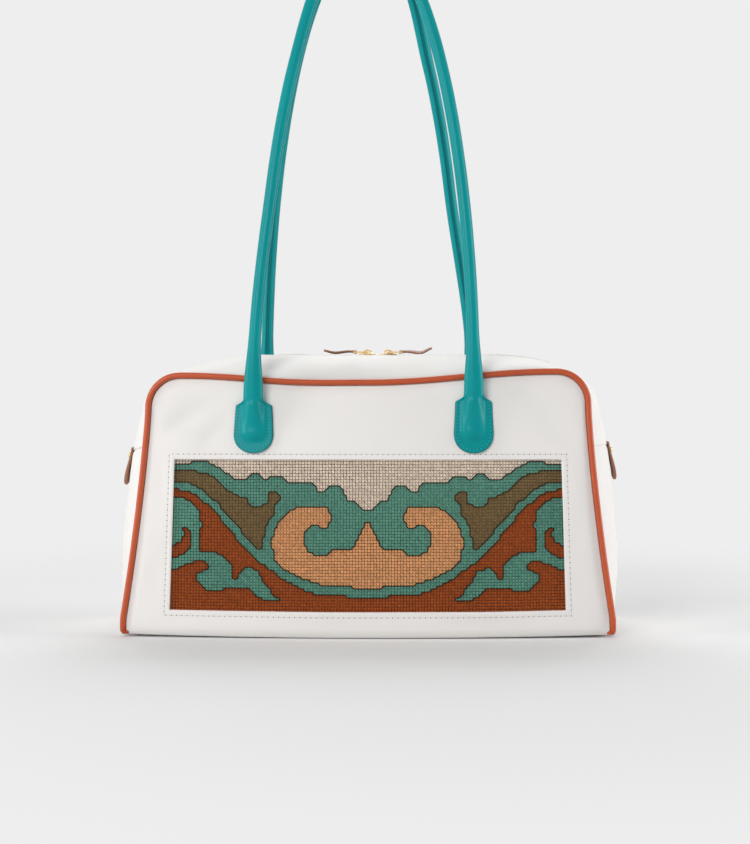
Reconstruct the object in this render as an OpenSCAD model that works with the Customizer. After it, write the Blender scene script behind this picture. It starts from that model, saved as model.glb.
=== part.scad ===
// Zip-top shoulder bag: a trapezoid leather body with piped seams, a stitched picture panel
// let into the front, a two-way zip over the top and two long rolled handles.
// Front faces -Y, +Z is up, and the origin is on the floor under the middle of the bag.

/* [Body] */
// Width across the side seams at the base
base_w = 354; // [300:1:420]
// Width across the side seams just below the top corners
shoulder_w = 319; // [260:1:350]
// Height up to which the side seams stand upright
foot_z = 12; // [0:1:40]
// Height of the top seam at the corners
seam_h = 192; // [160:1:240]
// How far the top seam dips at the middle
top_dip = 8; // [0:0.5:14]
// Radius of the top corners
corner_r = 23; // [14:1:40]
// Height of the zip above the top seam's corners
zip_rise = 12; // [8:1:30]
// Depth between the two piped seams at the base
base_depth = 120; // [90:1:170]
// Depth between the two piped seams at the top
top_depth = 94; // [70:1:120]
// How far the front and back panels belly out
belly = 10; // [0:0.5:18]
// How far the sides puff out between the seams
side_puff = 16; // [2:0.5:20]
// Fullness of the sides at the shoulder
top_puff = 9.5; // [1:0.5:14]
// Height at which the sides are fullest
puff_z = 100; // [70:1:125]

/* [Leather] */
// Thickness of the body leather
leather_t = 2; // [1.2:0.1:3]
// Thickness of the bottom panel
bottom_t = 2.4; // [1.5:0.1:4]
// Thickness of the stiffening board in the base
board_t = 2; // [1:0.1:4]
// Thickness of the lining cloth
lining_t = 0.8; // [0.5:0.1:1.5]
// Radius of the piping
piping_r = 2.15; // [1.5:0.05:3]

/* [Picture panel] */
// Width of the window at its lower edge
window_low_w = 287; // [220:1:295]
// Width of the window at its upper edge
window_top_w = 281; // [220:1:285]
// Height of the window's lower edge above the floor
window_low_z = 22; // [14:0.5:40]
// Height of the window
window_h = 108; // [70:1:112]
// Thickness of the canvas
canvas_t = 1.2; // [0.6:0.1:2]
// Thickness of the stitches on the canvas
thread_t = 0.6; // [0.4:0.1:1]
// Width of the dark outline left between two fields of thread
outline_w = 0.9; // [0.6:0.1:1.6]

/* [Handles] */
// Distance between the two feet of a handle
handle_span = 159; // [120:1:190]
// Rise of a handle above its neck
handle_rise = 338; // [180:1:380]
// Radius of the rolled part
handle_r = 4.5; // [3.5:0.1:8]
// Width of the roll where it leaves its tab
neck_w = 14.4; // [10:0.2:20]
// Height over which the roll narrows above its tab
taper_h = 46; // [20:1:80]
// Distance from the lower tip of a handle tab up to the level of the top seam's corners
tab_drop = 58; // [52:1:59]
// Length of a handle tab from tip to shoulder
tab_l = 36; // [28:1:40]
// Width of a handle tab
tab_w = 28.8; // [24:0.2:34]
// Thickness of the flat edge of a handle tab
tab_t = 2.4; // [1.6:0.1:4]
// Distance between the two handles where they come together at the top
handle_gap = 3; // [1:0.5:20]

/* [Zip] */
// Half the length of the level stretch of the zip
level_half = 89; // [78:1:100]
// Height at which the zip ends on each side
zip_end_z = 137; // [120:1:145]
// Width of the slit between the two zip strips
slit_w = 13; // [12:0.5:18]
// Distance between teeth of one row
tooth_pitch = 3.2; // [2.6:0.1:4]
// Place along the zip at which the two sliders meet
meet_x = 6; // [-8:1:8]
// Length of a slider
slider_l = 12.5; // [10:0.5:14]
// Length of the leather strip on a slider's pull
strip_l = 23; // [15:1:30]

/* [Hidden] */

// Room left between two pieces that are sewn or laid together
seam_gap = 0.25;
// How far a cutter runs past what it cuts
overrun = 5;

// The form of the body
edge_z = 0.4;
fold_h = 7;
fold_depth = 4;
flare_power = 1.35;
belly_power = 3;
puff_power = 2.5;
shoulder_power = 3;
shoulder_z = seam_h - corner_r;
ridge_h = seam_h + zip_rise;
low_steps = 6;
high_steps = 2;
corner_steps = 5;
top_steps = 7;
across_steps = 4;
lining_steps = 1;
side_across_steps = 8;
base_steps = 12;
ring_shares = [0, 0.12, 0.3, 0.62, 1];

function lerp(a, b, share) = a + (b - a) * share;
function flat(rows) = [for (row = rows) each row];
function reversed(list) = [for (i = [len(list) - 1:-1:0]) list[i]];
function unit(v) = v / norm(v);
function quad(a, b, c, d) = [[a, b, c], [a, c, d]];

// Half the width at a side seam, and half the depth between the two seams
function side_share(z) = max(0, min(1, (shoulder_z - z) / (shoulder_z - foot_z)));
function side_x(z) = lerp(shoulder_w, base_w, pow(side_share(z), flare_power)) / 2;
function fold_in(z) = z < fold_h ? fold_depth * pow(1 - z / fold_h, 2) : 0;
function half_depth(z) = lerp(base_depth, top_depth, z / seam_h) / 2 - fold_in(z);
function side_bulge(z) = side_puff * (1 - pow(1 - min(1, z / puff_z), puff_power))
    - (side_puff - top_puff) * pow(max(0, (z - puff_z) / (shoulder_z - puff_z)), shoulder_power);

// Outer face of the front panel
function belly_out(x, z) = belly * max(0, 1 - pow(x / side_x(z), 2))
    * max(0, 1 - pow(z / (seam_h - top_dip), belly_power));
function front_y(x, z) = -half_depth(z) - belly_out(x, z);

// The stations along the right half of a seam: heights up the side, then the corner, then the top
function heights(low, high, steps) = concat([low],
    [for (i = [0:steps - 1]) lerp(fold_h, high, i / (steps - 1))]);
low_z = heights(edge_z, zip_end_z - seam_gap, low_steps);
high_z = [for (i = [0:high_steps]) lerp(zip_end_z, shoulder_z, i / high_steps)];
corner_a = [for (i = [1:corner_steps]) 90 * i / corner_steps];
top_share = [for (i = [1:top_steps]) i / top_steps];

// Seam and ridge lines, in X and Z, set in by a given amount
function seam_side(zs, inset) = [for (z = zs) [side_x(z) - inset, z]];
function seam_top(inset) = let (start_x = shoulder_w / 2 - corner_r) concat(
    [for (a = corner_a) [start_x + (corner_r - inset) * cos(a), shoulder_z + (corner_r - inset) * sin(a)]],
    [for (q = top_share) [start_x * (1 - q), seam_h - inset - top_dip * (1 - cos(180 * q)) / 2]]);
function ridge_side(zs, inset) = [for (z = zs) [side_x(z) + side_bulge(z) - inset, z]];
function ridge_top(inset) = let (
        rx = side_x(shoulder_z) + top_puff - level_half,
        rz = ridge_h - shoulder_z) concat(
    [for (a = corner_a) [level_half + (rx - inset) * cos(a), shoulder_z + (rz - inset) * sin(a)]],
    [for (q = top_share) [level_half * (1 - q), ridge_h - inset]]);

// A line over the whole bag, from the right foot to the left
function over(half) = concat(half, [for (i = [len(half) - 2:-1:0]) [-half[i][0], half[i][1]]]);
function seam_line(zs, inset) = over(concat(seam_side(zs, inset), seam_top(inset)));
function ridge_line(zs, inset) = over(concat(ridge_side(zs, inset), ridge_top(inset)));

// A point of the gusset, a given distance behind the front seam's middle plane
function gusset_point(seam, ridge, depth, y) = let (
        away = y / depth,
        p = lerp(ridge, seam, away * away))
    [p[0], y, p[1]];
// Cross-section of a strip of the gusset between two distances from the zip's middle
function gusset_ring(seam, ridge, seam_in, ridge_in, depth, from_y, to_y, steps) = concat(
    [for (k = [0:steps]) gusset_point(seam, ridge, depth, lerp(from_y, to_y, k / steps))],
    [for (k = [steps:-1:0]) gusset_point(seam_in, ridge_in, depth, lerp(from_y, to_y, k / steps))]);
// Rings of a strip, over the top or up one side, from the front seam to the slit or to the back seam
function gusset_rings(zs, top, outer, inner, from_seam, to_slit, steps) = let (
        seam = top ? seam_line(zs, outer) : seam_side(zs, outer),
        ridge = top ? ridge_line(zs, outer) : ridge_side(zs, outer),
        seam_in = top ? seam_line(zs, inner) : seam_side(zs, inner),
        ridge_in = top ? ridge_line(zs, inner) : ridge_side(zs, inner))
    [for (i = [0:len(seam) - 1]) let (depth = half_depth(seam[i][1]))
        gusset_ring(seam[i], ridge[i], seam_in[i], ridge_in[i], depth,
            from_seam - depth, to_slit > 0 ? -to_slit : depth - from_seam, steps)];

// A closed solid from rings of points, with flat ends
module rings_solid(rings) {
    n = len(rings[0]);
    m = len(rings);
    polyhedron(points = flat(rings), faces = concat(
        [for (i = [0:m - 2], j = [0:n - 1])
            each quad(i * n + j, i * n + (j + 1) % n, (i + 1) * n + (j + 1) % n, (i + 1) * n + j)],
        [[for (j = [n - 1:-1:0]) j]],
        [[for (j = [0:n - 1]) (m - 1) * n + j]]));
}

// A closed band from rings that run round an opening, each with an outer and an inner point
module band_solid(outer, inner) {
    rings = concat(outer, reversed(inner));
    n = len(rings[0]);
    m = len(rings);
    polyhedron(points = flat(rings), faces =
        [for (i = [0:m - 1], j = [0:n - 1]) let (next = (i + 1) % m)
            each quad(i * n + j, i * n + (j + 1) % n, next * n + (j + 1) % n, next * n + j)]);
}

// A sheet that follows the front panel, from a grid of places in X and Z
module front_sheet(grid, front, back) {
    cross = [for (row = grid) concat(
        [for (p = row) [p[0], front_y(p[0], p[1]) + front, p[1]]],
        [for (p = reversed(row)) [p[0], front_y(p[0], p[1]) + back, p[1]]])];
    rings_solid(cross);
}

module mirrored(axis) {
    children();
    mirror(axis) children();
}

// Loops of the front and back panels, run from the right foot over the top and back along the base
side_steps = 6;
corner_share = 0.15;
window_top_z = window_low_z + window_h;
panel_inset = piping_r + seam_gap;
centre_z = window_low_z + window_h / 2;
middle_share = 0.5;
function low_edge(half_w, z) = [for (i = [1:base_steps - 1]) [lerp(-half_w, half_w, i / base_steps), z]];
function panel_loop(inset, low) = concat(seam_line(heights(low, shoulder_z, side_steps), inset),
    low_edge(side_x(low) - inset, low));
function window_half() = concat(
    [for (i = [0:side_steps]) [lerp(window_low_w, window_top_w, i / side_steps) / 2,
        lerp(window_low_z, window_top_z, i / side_steps)]],
    [for (i = [1:corner_steps]) [window_top_w / 2 * (1 - corner_share * i / corner_steps), window_top_z]],
    [for (q = top_share) [window_top_w / 2 * (1 - corner_share) * (1 - q), window_top_z]]);
function window_loop() = concat(over(window_half()), low_edge(window_low_w / 2, window_low_z));
function loop_on_front(loop, back) = [for (p = loop) [p[0], front_y(p[0], p[1]) + back, p[1]]];
function panel_rings(inset, low, back, shares) = let (outside = panel_loop(inset, low), inside = window_loop())
    [for (k = shares) loop_on_front([for (j = [0:len(inside) - 1]) lerp(outside[j], inside[j], k)], back)];

// A closed sheet without a window, from rings that close in on the middle
module closed_sheet(inset, low, front, back, shares) {
    middle = [0, centre_z];
    small = [for (p = window_loop()) lerp(p, middle, middle_share)];
    face = concat(panel_rings(inset, low, front, shares), [loop_on_front(small, front)]);
    rear = concat(panel_rings(inset, low, back, shares), [loop_on_front(small, back)]);
    rings = concat(reversed(face), rear);
    n = len(small);
    m = len(rings);
    tips = loop_on_front([middle], front);
    tails = loop_on_front([middle], back);
    polyhedron(points = concat(flat(rings), tips, tails), faces = concat(
        [for (i = [0:m - 2], j = [0:n - 1])
            each quad(i * n + j, i * n + (j + 1) % n, (i + 1) * n + (j + 1) % n, (i + 1) * n + j)],
        [for (j = [0:n - 1]) [(j + 1) % n, j, m * n]],
        [for (j = [0:n - 1]) [(m - 1) * n + j, (m - 1) * n + (j + 1) % n, m * n + 1]]));
}

module front_panel() {
    color("whitesmoke")
        band_solid(panel_rings(panel_inset, edge_z, 0, ring_shares),
            panel_rings(panel_inset, edge_z, leather_t, ring_shares));
}

module back_panel() {
    color("whitesmoke")
        mirror([0, 1, 0])
            closed_sheet(panel_inset, edge_z, 0, leather_t, ring_shares);
}

// Outline of the base, set in from the bottom panel's own edge
function base_edge(inset) = let (
        half_l = side_x(0) - leather_t - seam_gap - inset,
        xs = [for (i = [0:base_steps]) lerp(-half_l, half_l, i / base_steps)])
    [for (x = xs) [x, front_y(x, 0) + leather_t + seam_gap + inset]];
module base_outline(inset) {
    polygon(concat(base_edge(inset), [for (p = reversed(base_edge(inset))) [p[0], -p[1]]]));
}
board_inset = 1.5;
board_z = bottom_t + seam_gap;
lining_base_z = board_z + board_t + seam_gap;
lining_low = lining_base_z + lining_t + seam_gap;

module bottom_panel() {
    color("whitesmoke")
        linear_extrude(bottom_t)
            base_outline(0);
}

module base_board() {
    color("peru")
        translate([0, 0, board_z])
            linear_extrude(board_t)
                base_outline(board_inset);
}

module lining_base() {
    color("burlywood")
        translate([0, 0, lining_base_z])
            linear_extrude(lining_t)
                base_outline(2 * board_inset);
}

// Side gussets below the zip, full width from one seam to the other
module side_gusset_right() {
    color("whitesmoke")
        rings_solid(gusset_rings(low_z, false, 0, leather_t, panel_inset, 0, side_across_steps));
}

module side_gusset_left() {
    mirror([1, 0, 0])
        side_gusset_right();
}

// The two strips on either side of the zip
module zip_strip_front() {
    color("whitesmoke")
        rings_solid(gusset_rings(high_z, true, 0, leather_t, panel_inset, slit_w / 2, across_steps));
}

module zip_strip_back() {
    mirror([0, 1, 0])
        zip_strip_front();
}

// Corded piping along a seam
piping_sides = 8;
piping_low = 2;
piping_z = heights(piping_low, shoulder_z, side_steps);
function heading(path, i) = unit(path[min(len(path) - 1, i + 1)] - path[max(0, i - 1)]);
module piping_front() {
    path = seam_line(piping_z, 0);
    color("chocolate")
        rings_solid([for (i = [0:len(path) - 1]) let (t = heading(path, i))
            [for (j = [0:piping_sides - 1]) let (a = 360 * j / piping_sides, out = piping_r * cos(a))
                [path[i][0] + out * t[1], piping_r * sin(a) - half_depth(path[i][1]),
                    path[i][1] - out * t[0]]]]);
}

module piping_back() {
    mirror([0, 1, 0])
        piping_front();
}

// The canvas and its stitches lie behind the front panel
thread_back = leather_t + seam_gap;
canvas_gap = 0.4;
canvas_back = thread_back + thread_t + canvas_gap;
canvas_margin = 8;
thread_margin = 3;
canvas_columns = 9;
canvas_rows = 4;
function window_place(across, up, margin) = let (z = lerp(window_low_z - margin, window_top_z + margin, up))
    [lerp(-1, 1, across) * (lerp(window_low_w, window_top_w, (z - window_low_z) / window_h) / 2 + margin), z];
function canvas_grid(margin) = [for (i = [0:canvas_columns])
    [for (k = [0:canvas_rows]) window_place(i / canvas_columns, k / canvas_rows, margin)]];

module picture_canvas() {
    color("antiquewhite")
        front_sheet(canvas_grid(canvas_margin), canvas_back, canvas_back + canvas_t);
}

// The ornament: scrolls of plain arcs, as shares of the window's height from the middle of its lower edge
garland_shares = [[0, 0.125, 0.032], [0.2, 0.135, 0.031], [0.34, 0.15, 0.033], [0.47, 0.195, 0.031],
    [0.56, 0.246, 0.028], [0.75, 0.38, 0.029], [1.02, 0.695, 0.026], [1.13, 0.785, 0.027],
    [1.21, 0.826, 0.026], [1.4, 0.838, 0.026]];
cloud_shares = [[0.105, 0.664, 0.068], [0.22, 0.766, 0.07], [0.395, 0.788, 0.066], [0.61, 0.838, 0.068],
    [0.748, 0.843, 0.068], [0.74, 0.767, 0.078]];
cloud_body_shares = [[0, 0.668], [0.05, 0.67], [0.105, 0.71], [0.22, 0.8], [0.32, 0.79], [0.4, 0.845],
    [0.52, 0.85], [0.61, 0.88], [0.68, 0.865], [0.75, 0.88], [0.78, 0.76], [0.6, 0.66], [0.1, 0.4], [0, 0.58]];
arm_shares = [[0.748, 0.83, 0.068], [0.87, 0.814, 0.05], [0.945, 0.861, 0.044], [1.02, 0.923, 0.038],
    [1.075, 0.957, 0.034], [1.2, 0.955, 0.029], [1.4, 0.953, 0.027]];
ground_line_shares = [[0, 0.64], [0.105, 0.66], [0.22, 0.75], [0.4, 0.78], [0.61, 0.82], [0.748, 0.82],
    [0.87, 0.814], [0.945, 0.861], [1.02, 0.923], [1.075, 0.957], [1.4, 0.953]];
spur_shares = [[0.7, 0.65], [0.665, 0.72], [0.665, 0.79], [0.645, 0.808], [0.61, 0.795], [0.56, 0.757],
    [0.6, 0.732], [0.64, 0.69], [0.66, 0.64]];
horn_shares = [0.385, 0.45, 0.256];
horn_base_shares = [[0, 0.161], [0.25, 0.161], [0.385, 0.2], [0.385, 0.42], [0.1, 0.42], [0, 0.606]];
horn_tip_shares = [[0.306, 0.632, 0.064], [0.292, 0.572, 0.034]];
lobe_shares = [0.319, 0.479, 0.11];
lobe_body_shares = [[0, 0.606], [0.08, 0.537], [0.092, 0.485], [0.15, 0.41], [0.25, 0.403], [0.319, 0.38],
    [0.319, 0.57], [0.27, 0.6], [0.27, 0.75], [0, 0.75]];
rim_share = 0.062;
scroll_shares = [1.291, 0.579, 0.18];
scroll_body_shares = [[1.4, 0.24], [1.318, 0.264], [1.264, 0.284], [1.19, 0.318], [1.118, 0.33], [1.02, 0.33],
    [1, 0.384], [1.127, 0.384], [1.113, 0.5], [1.2, 0.6], [1.4, 0.6]];
crescent_shares = [[1.305, 0.477, 0.124], [1.318, 0.52, 0.086]];
curl_shares = [1.026, 0.252, 0.127];
bite_shares = [[1.4, 0.24], [1.264, 0.284], [1.19, 0.318], [1.118, 0.328], [1.075, 0.318], [1.045, 0.283],
    [1.036, 0.24], [1.065, 0.26], [1.13, 0.256], [1.165, 0.22]];
leaf_shares = [[0.96, 0.178, 0.026], [0.83, 0.18, 0.026], [0.78, 0.217, 0.066], [0.705, 0.13, 0.046],
    [0.62, 0.08, 0.018], [0.535, 0.092, 0.004]];
half_shares = 1.4;
arc_fn = 16;

module disc(shares) {
    translate([shares[0] * window_h, shares[1] * window_h])
        circle(r = shares[2] * window_h, $fn = arc_fn);
}
module shape(shares) {
    polygon([for (p = shares) p * window_h]);
}
module band(shares) {
    for (i = [0:len(shares) - 2])
        hull() {
            disc(shares[i]);
            disc(shares[i + 1]);
        }
}
module above(shares) {
    shape(concat([for (p = shares) [p[0], p[1]]], [[half_shares, 2], [0, 2]]));
}
module horn() {
    difference() {
        union() {
            disc(horn_shares);
            shape(horn_base_shares);
        }
        disc(lobe_shares);
        shape(lobe_body_shares);
    }
    for (tip = horn_tip_shares)
        disc(tip);
}
module peach_half() {
    intersection() {
        difference() {
            horn();
            band(garland_shares);
        }
        above(garland_shares);
    }
}
module middle_scrolls() {
    difference() {
        union() {
            for (c = cloud_shares)
                disc(c);
            shape(cloud_body_shares);
            disc([horn_shares[0], horn_shares[1], horn_shares[2] + rim_share]);
        }
        shape(spur_shares);
    }
    band(arm_shares);
}
module corner_scrolls() {
    difference() {
        union() {
            disc(scroll_shares);
            shape(scroll_body_shares);
            disc(curl_shares);
        }
        difference() {
            disc(crescent_shares[0]);
            disc(crescent_shares[1]);
        }
        shape(bite_shares);
    }
    band(leaf_shares);
}
module teal_half() {
    intersection() {
        difference() {
            middle_scrolls();
            horn();
        }
        above(garland_shares);
    }
    band(garland_shares);
    difference() {
        corner_scrolls();
        above(garland_shares);
    }
}
module sand_half() {
    difference() {
        above(ground_line_shares);
        teal_half();
        horn();
    }
}
module olive_half() {
    difference() {
        above(garland_shares);
        above(ground_line_shares);
        horn();
        teal_half();
    }
}
module rust_half() {
    difference() {
        translate([0, -window_h])
            square([half_shares * window_h, 3 * window_h]);
        above(garland_shares);
        teal_half();
    }
}

// One field of thread: both halves of its outline, cut from a thin layer on the canvas
module thread_field() {
    intersection() {
        translate([0, base_depth, window_low_z])
            rotate([90, 0, 0])
                linear_extrude(2 * base_depth)
                    offset(delta = -outline_w / 2)
                        mirrored([1, 0])
                            children();
        front_sheet(canvas_grid(thread_margin), thread_back, thread_back + thread_t);
    }
}
module thread_teal() {
    color("darkcyan")
        thread_field() teal_half();
}
module thread_peach() {
    color("sandybrown")
        thread_field() peach_half();
}
module thread_sand() {
    color("wheat")
        thread_field() sand_half();
}
module thread_olive() {
    color("olive")
        thread_field() olive_half();
}
module thread_rust() {
    color("brown")
        thread_field() rust_half();
}

// Lining: a sheet behind each panel and a strip under the gussets, open along the zip
lining_inset = 2 * panel_inset + seam_gap;
tape_t = 0.8;
lining_drop = leather_t + tape_t + 3 * seam_gap;
lining_slit = 10;
lining_ring_shares = [0, 0.4, 1];
lining_gap = 1.2;
lining_z = heights(lining_low, shoulder_z, side_steps);

module lining_front() {
    front = canvas_back + canvas_t + seam_gap;
    color("burlywood")
        closed_sheet(lining_inset, lining_low, front, front + lining_t, lining_ring_shares);
}

module lining_back() {
    front = leather_t + lining_gap;
    color("burlywood")
        mirror([0, 1, 0])
            closed_sheet(lining_inset, lining_low, front, front + lining_t, lining_ring_shares);
}

module lining_gusset() {
    color("burlywood")
        mirrored([0, 1, 0])
            rings_solid(gusset_rings(lining_z, true, lining_drop, lining_drop + lining_t,
                panel_inset + lining_gap, lining_slit, lining_steps));
}

// Rolled handle: a round roll over the arch, flattened at each end into a sewn tab
tip_r = tab_w / 2;
tab_z = seam_h - tab_drop;
waist_share = 0.92;
shoulder_l = 6;
tab_top = tab_z + tab_l;
neck_z = tab_top + shoulder_l;
ring_sides = 12;
arch_steps = 20;
foot_angles = [0, 3, 6];
lean_power = 1.5;
tip_angles = [15, 35, 60, 90];
tab_shares = [0.35, 0.7, 1];
ridge_fade_share = 0.8;
foot_x = handle_span / 2;
neck_y = -half_depth(neck_z) - piping_r - handle_r - 2 * seam_gap - belly_out(foot_x, neck_z) / 2;
apex_y = -handle_r - handle_gap / 2;

function tab_half(z) = z < tab_z + tip_r ? sqrt(max(0, tip_r * tip_r - pow(tip_r - z + tab_z, 2)))
    : lerp(tip_r, waist_share * tip_r, (z - tab_z - tip_r) / (tab_l - tip_r));
function tab_bump(z) = 2 * handle_r * pow(max(0, (z - tab_z - (1 - ridge_fade_share) * tab_l)
    / (ridge_fade_share * tab_l + shoulder_l)), 2);
function tab_ring(side, z) = let (half = tab_half(z))
    [for (j = [0:ring_sides - 1]) let (
            a = 360 * j / ring_sides,
            off = half * cos(a),
            x = foot_x + off,
            ridge = tab_bump(z) * max(0, 1 - pow(off / (2 * handle_r), 2)),
            out = j == 0 || j == ring_sides / 2 ? tab_t / 2 : j < ring_sides / 2 ? tab_t + ridge : 0)
        [side * x, front_y(x, z) - seam_gap - out, z]];
function arch_point(a) = [foot_x * cos(a), lerp(neck_y, apex_y, pow(sin(a), lean_power)),
    neck_z + handle_rise * sin(a)];
function roll_half(a) = let (share = min(1, handle_rise * sin(a) / taper_h))
    lerp(neck_w / 2, handle_r, share * share * (3 - 2 * share));
function arch_ring(a) = let (
        step = 0.5,
        t = unit(arch_point(min(180, a + step)) - arch_point(max(0, a - step))),
        fore = unit([0, -1, 0] - t * (t * [0, -1, 0])),
        out = cross(fore, t) * -1)
    [for (j = [0:ring_sides - 1]) let (b = 360 * j / ring_sides)
        arch_point(a) + roll_half(a) * cos(b) * out + handle_r * sin(b) * fore];
arch_angles = concat(foot_angles, [for (i = [1:arch_steps - 1]) 180 * i / arch_steps],
    [for (a = reversed(foot_angles)) 180 - a]);
tab_heights = concat([for (a = tip_angles) tab_z + tip_r * (1 - cos(a))],
    [for (k = tab_shares) lerp(tab_z + tip_r, tab_top, k)]);

module handle_front() {
    color("darkcyan")
        rings_solid(concat(
            [for (z = tab_heights) tab_ring(1, z)],
            [for (a = arch_angles) arch_ring(a)],
            [for (z = reversed(tab_heights)) tab_ring(-1, z)]));
}

module handle_back() {
    mirror([0, 1, 0])
        handle_front();
}

// Zip tapes under the edges of the two strips
tape_outer = 14;
tooth_y = 2.8;
tooth_play = 0.15;
tape_inner = tooth_y + tooth_play;
tape_drop = leather_t + seam_gap;
function tape_rings() = let (
        seam = seam_line(high_z, tape_drop),
        ridge = ridge_line(high_z, tape_drop),
        seam_in = seam_line(high_z, tape_drop + tape_t),
        ridge_in = ridge_line(high_z, tape_drop + tape_t))
    [for (i = [0:len(seam) - 1]) let (depth = half_depth(seam[i][1])) concat(
        [for (y = [-tape_outer, -(tape_outer + tape_inner) / 2, -tape_inner])
            gusset_point(seam[i], ridge[i], depth, y)],
        [for (y = [-tape_inner, -(tape_outer + tape_inner) / 2, -tape_outer])
            gusset_point(seam_in[i], ridge_in[i], depth, y)])];

module zip_tape_front() {
    color("tan")
        rings_solid(tape_rings());
}

module zip_tape_back() {
    mirror([0, 1, 0])
        zip_tape_front();
}

// Teeth, set out along the middle line of the tapes
tooth_l = 1.3;
tooth_h = 2.6;
tooth_lap = 0.9;
tape_mid = tape_drop + tape_t / 2;
fine_steps = 24;
fine_line = over(concat(ridge_side(high_z, tape_mid), let (
        rx = side_x(shoulder_z) + top_puff - level_half,
        rz = ridge_h - shoulder_z) concat(
    [for (i = [1:fine_steps]) let (a = 90 * i / fine_steps)
        [level_half + (rx - tape_mid) * cos(a), shoulder_z + (rz - tape_mid) * sin(a)]],
    [[0, ridge_h - tape_mid]])));
function lengths(path, i = 0, sum = 0) = i == len(path) - 1 ? [sum]
    : concat([sum], lengths(path, i + 1, sum + norm(path[i + 1] - path[i])));
fine_s = lengths(fine_line);
zip_l = fine_s[len(fine_s) - 1];
function piece_at(s) = max([for (i = [0:len(fine_s) - 2]) if (fine_s[i] <= s) i]);
tooth_count = floor((zip_l - 2 * tooth_pitch) / tooth_pitch);

module tooth_row(start) {
    for (k = [0:tooth_count - 1]) {
        s = start + k * tooth_pitch;
        i = piece_at(s);
        run = fine_line[i + 1] - fine_line[i];
        p = fine_line[i] + run * (s - fine_s[i]) / norm(run);
        translate([p[0], 0, p[1]])
            rotate([0, -atan2(run[1], run[0]), 0])
                translate([-tooth_l / 2, -tooth_y, -tooth_h / 2])
                    cube([tooth_l, tooth_y + tooth_lap, tooth_h]);
    }
}

module zip_teeth_front() {
    color("goldenrod")
        tooth_row(tooth_pitch);
}

module zip_teeth_back() {
    color("goldenrod")
        mirror([0, 1, 0])
            tooth_row(1.5 * tooth_pitch);
}

// Sliders: an upper plate with flanges and a bridge for the pull, and a lower plate under the tapes
run_gap = 0.3;
slider_w = 9;
nose_w = 7;
plate_t = 1.5;
flange_w = 1.2;
slider_gap = 3;
bridge_l = 6.6;
bridge_w = 2.2;
bridge_t = 1.1;
eye_h = 2.2;
slider_x = (slider_l + slider_gap) / 2;
tooth_top = ridge_h - tape_mid + tooth_h / 2;
tooth_low = ridge_h - tape_mid - tooth_h / 2;
plate_low = tooth_top + run_gap;
plate_high = plate_low + plate_t;
tape_top = ridge_h - tape_drop;
tape_low = ridge_h - tape_drop - tape_t - run_gap;
pull_z = plate_high + eye_h / 2;

module slider_outline() {
    polygon([[slider_l / 2, -nose_w / 2], [slider_l / 2, nose_w / 2], [0, slider_w / 2],
        [-slider_l / 2, slider_w / 2], [-slider_l / 2, -slider_w / 2], [0, -slider_w / 2]]);
}
module slider_flanges(low, high) {
    mirrored([0, 1, 0])
        translate([-slider_l / 2, slider_w / 2 - flange_w, low])
            cube([slider_l / 2, flange_w, high - low]);
}
module slider_right_shape() {
    translate([0, 0, plate_low])
        linear_extrude(plate_t)
            slider_outline();
    slider_flanges(tape_top + run_gap, plate_low + plate_t / 2);
    translate([0, bridge_w / 2, plate_high])
        rotate([90, 0, 0])
            linear_extrude(bridge_w)
                difference() {
                    translate([-bridge_l / 2, -plate_t / 2])
                        square([bridge_l, eye_h + bridge_t + plate_t / 2]);
                    translate([bridge_t - bridge_l / 2, 0])
                        square([bridge_l - 2 * bridge_t, eye_h]);
                }
    translate([0, 0, tooth_low - run_gap - plate_t])
        linear_extrude(plate_t)
            slider_outline();
    slider_flanges(tooth_low - run_gap - plate_t / 2, tape_low);
}

module zip_slider_right() {
    color("goldenrod")
        translate([meet_x + slider_x, 0, 0])
            slider_right_shape();
}

module zip_slider_left() {
    color("goldenrod")
        translate([meet_x - slider_x, 0, 0])
            mirror([1, 0, 0])
                slider_right_shape();
}

// Pulls: a wire link through the bridge and a leather strip folded over its far bar
wire_r = 0.7;
link_l = 10;
link_t = 1.1;
link_w = 6.6;
strip_w = 7;
strip_t = 1.8;
pull_play = 0.2;
strip_bore = wire_r + pull_play;
wrap_w = link_w - 2 * wire_r - 2 * pull_play;
fit_fn = 32;

module cross_bar(x, r, l) {
    translate([x, l / 2, 0])
        rotate([90, 0, 0])
            cylinder(r = r, h = l, $fn = fit_fn);
}
module link_right_shape() {
    cross_bar(0, wire_r, link_w + 2 * wire_r);
    translate([0, 0, -link_t / 2])
        linear_extrude(link_t)
            difference() {
                translate([0, -link_w / 2 - wire_r])
                    square([link_l + wire_r, link_w + 2 * wire_r]);
                translate([-wire_r, wire_r - link_w / 2])
                    square([link_l, link_w - 2 * wire_r]);
            }
}
module strip_right_shape() {
    difference() {
        union() {
            cross_bar(link_l, strip_bore + strip_t / 2, wrap_w);
            translate([link_l, -wrap_w / 2, -strip_t / 2])
                cube([strip_w / 2, wrap_w, strip_t]);
            translate([link_l + strip_w / 2, -strip_w / 2, -strip_t / 2])
                cube([strip_l - strip_w, strip_w, strip_t]);
            translate([link_l + strip_l - strip_w / 2, 0, -strip_t / 2])
                cylinder(d = strip_w, h = strip_t, $fn = fit_fn);
        }
        cross_bar(link_l, strip_bore, strip_w);
    }
}
module at_pull(side) {
    translate([meet_x + side * slider_x, 0, pull_z])
        mirror([side < 0 ? 1 : 0, 0, 0])
            children();
}

module pull_link_right() {
    color("goldenrod")
        at_pull(1) link_right_shape();
}

module pull_link_left() {
    color("goldenrod")
        at_pull(-1) link_right_shape();
}

module pull_strip_right() {
    color("saddlebrown")
        at_pull(1) strip_right_shape();
}

module pull_strip_left() {
    color("saddlebrown")
        at_pull(-1) strip_right_shape();
}

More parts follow.
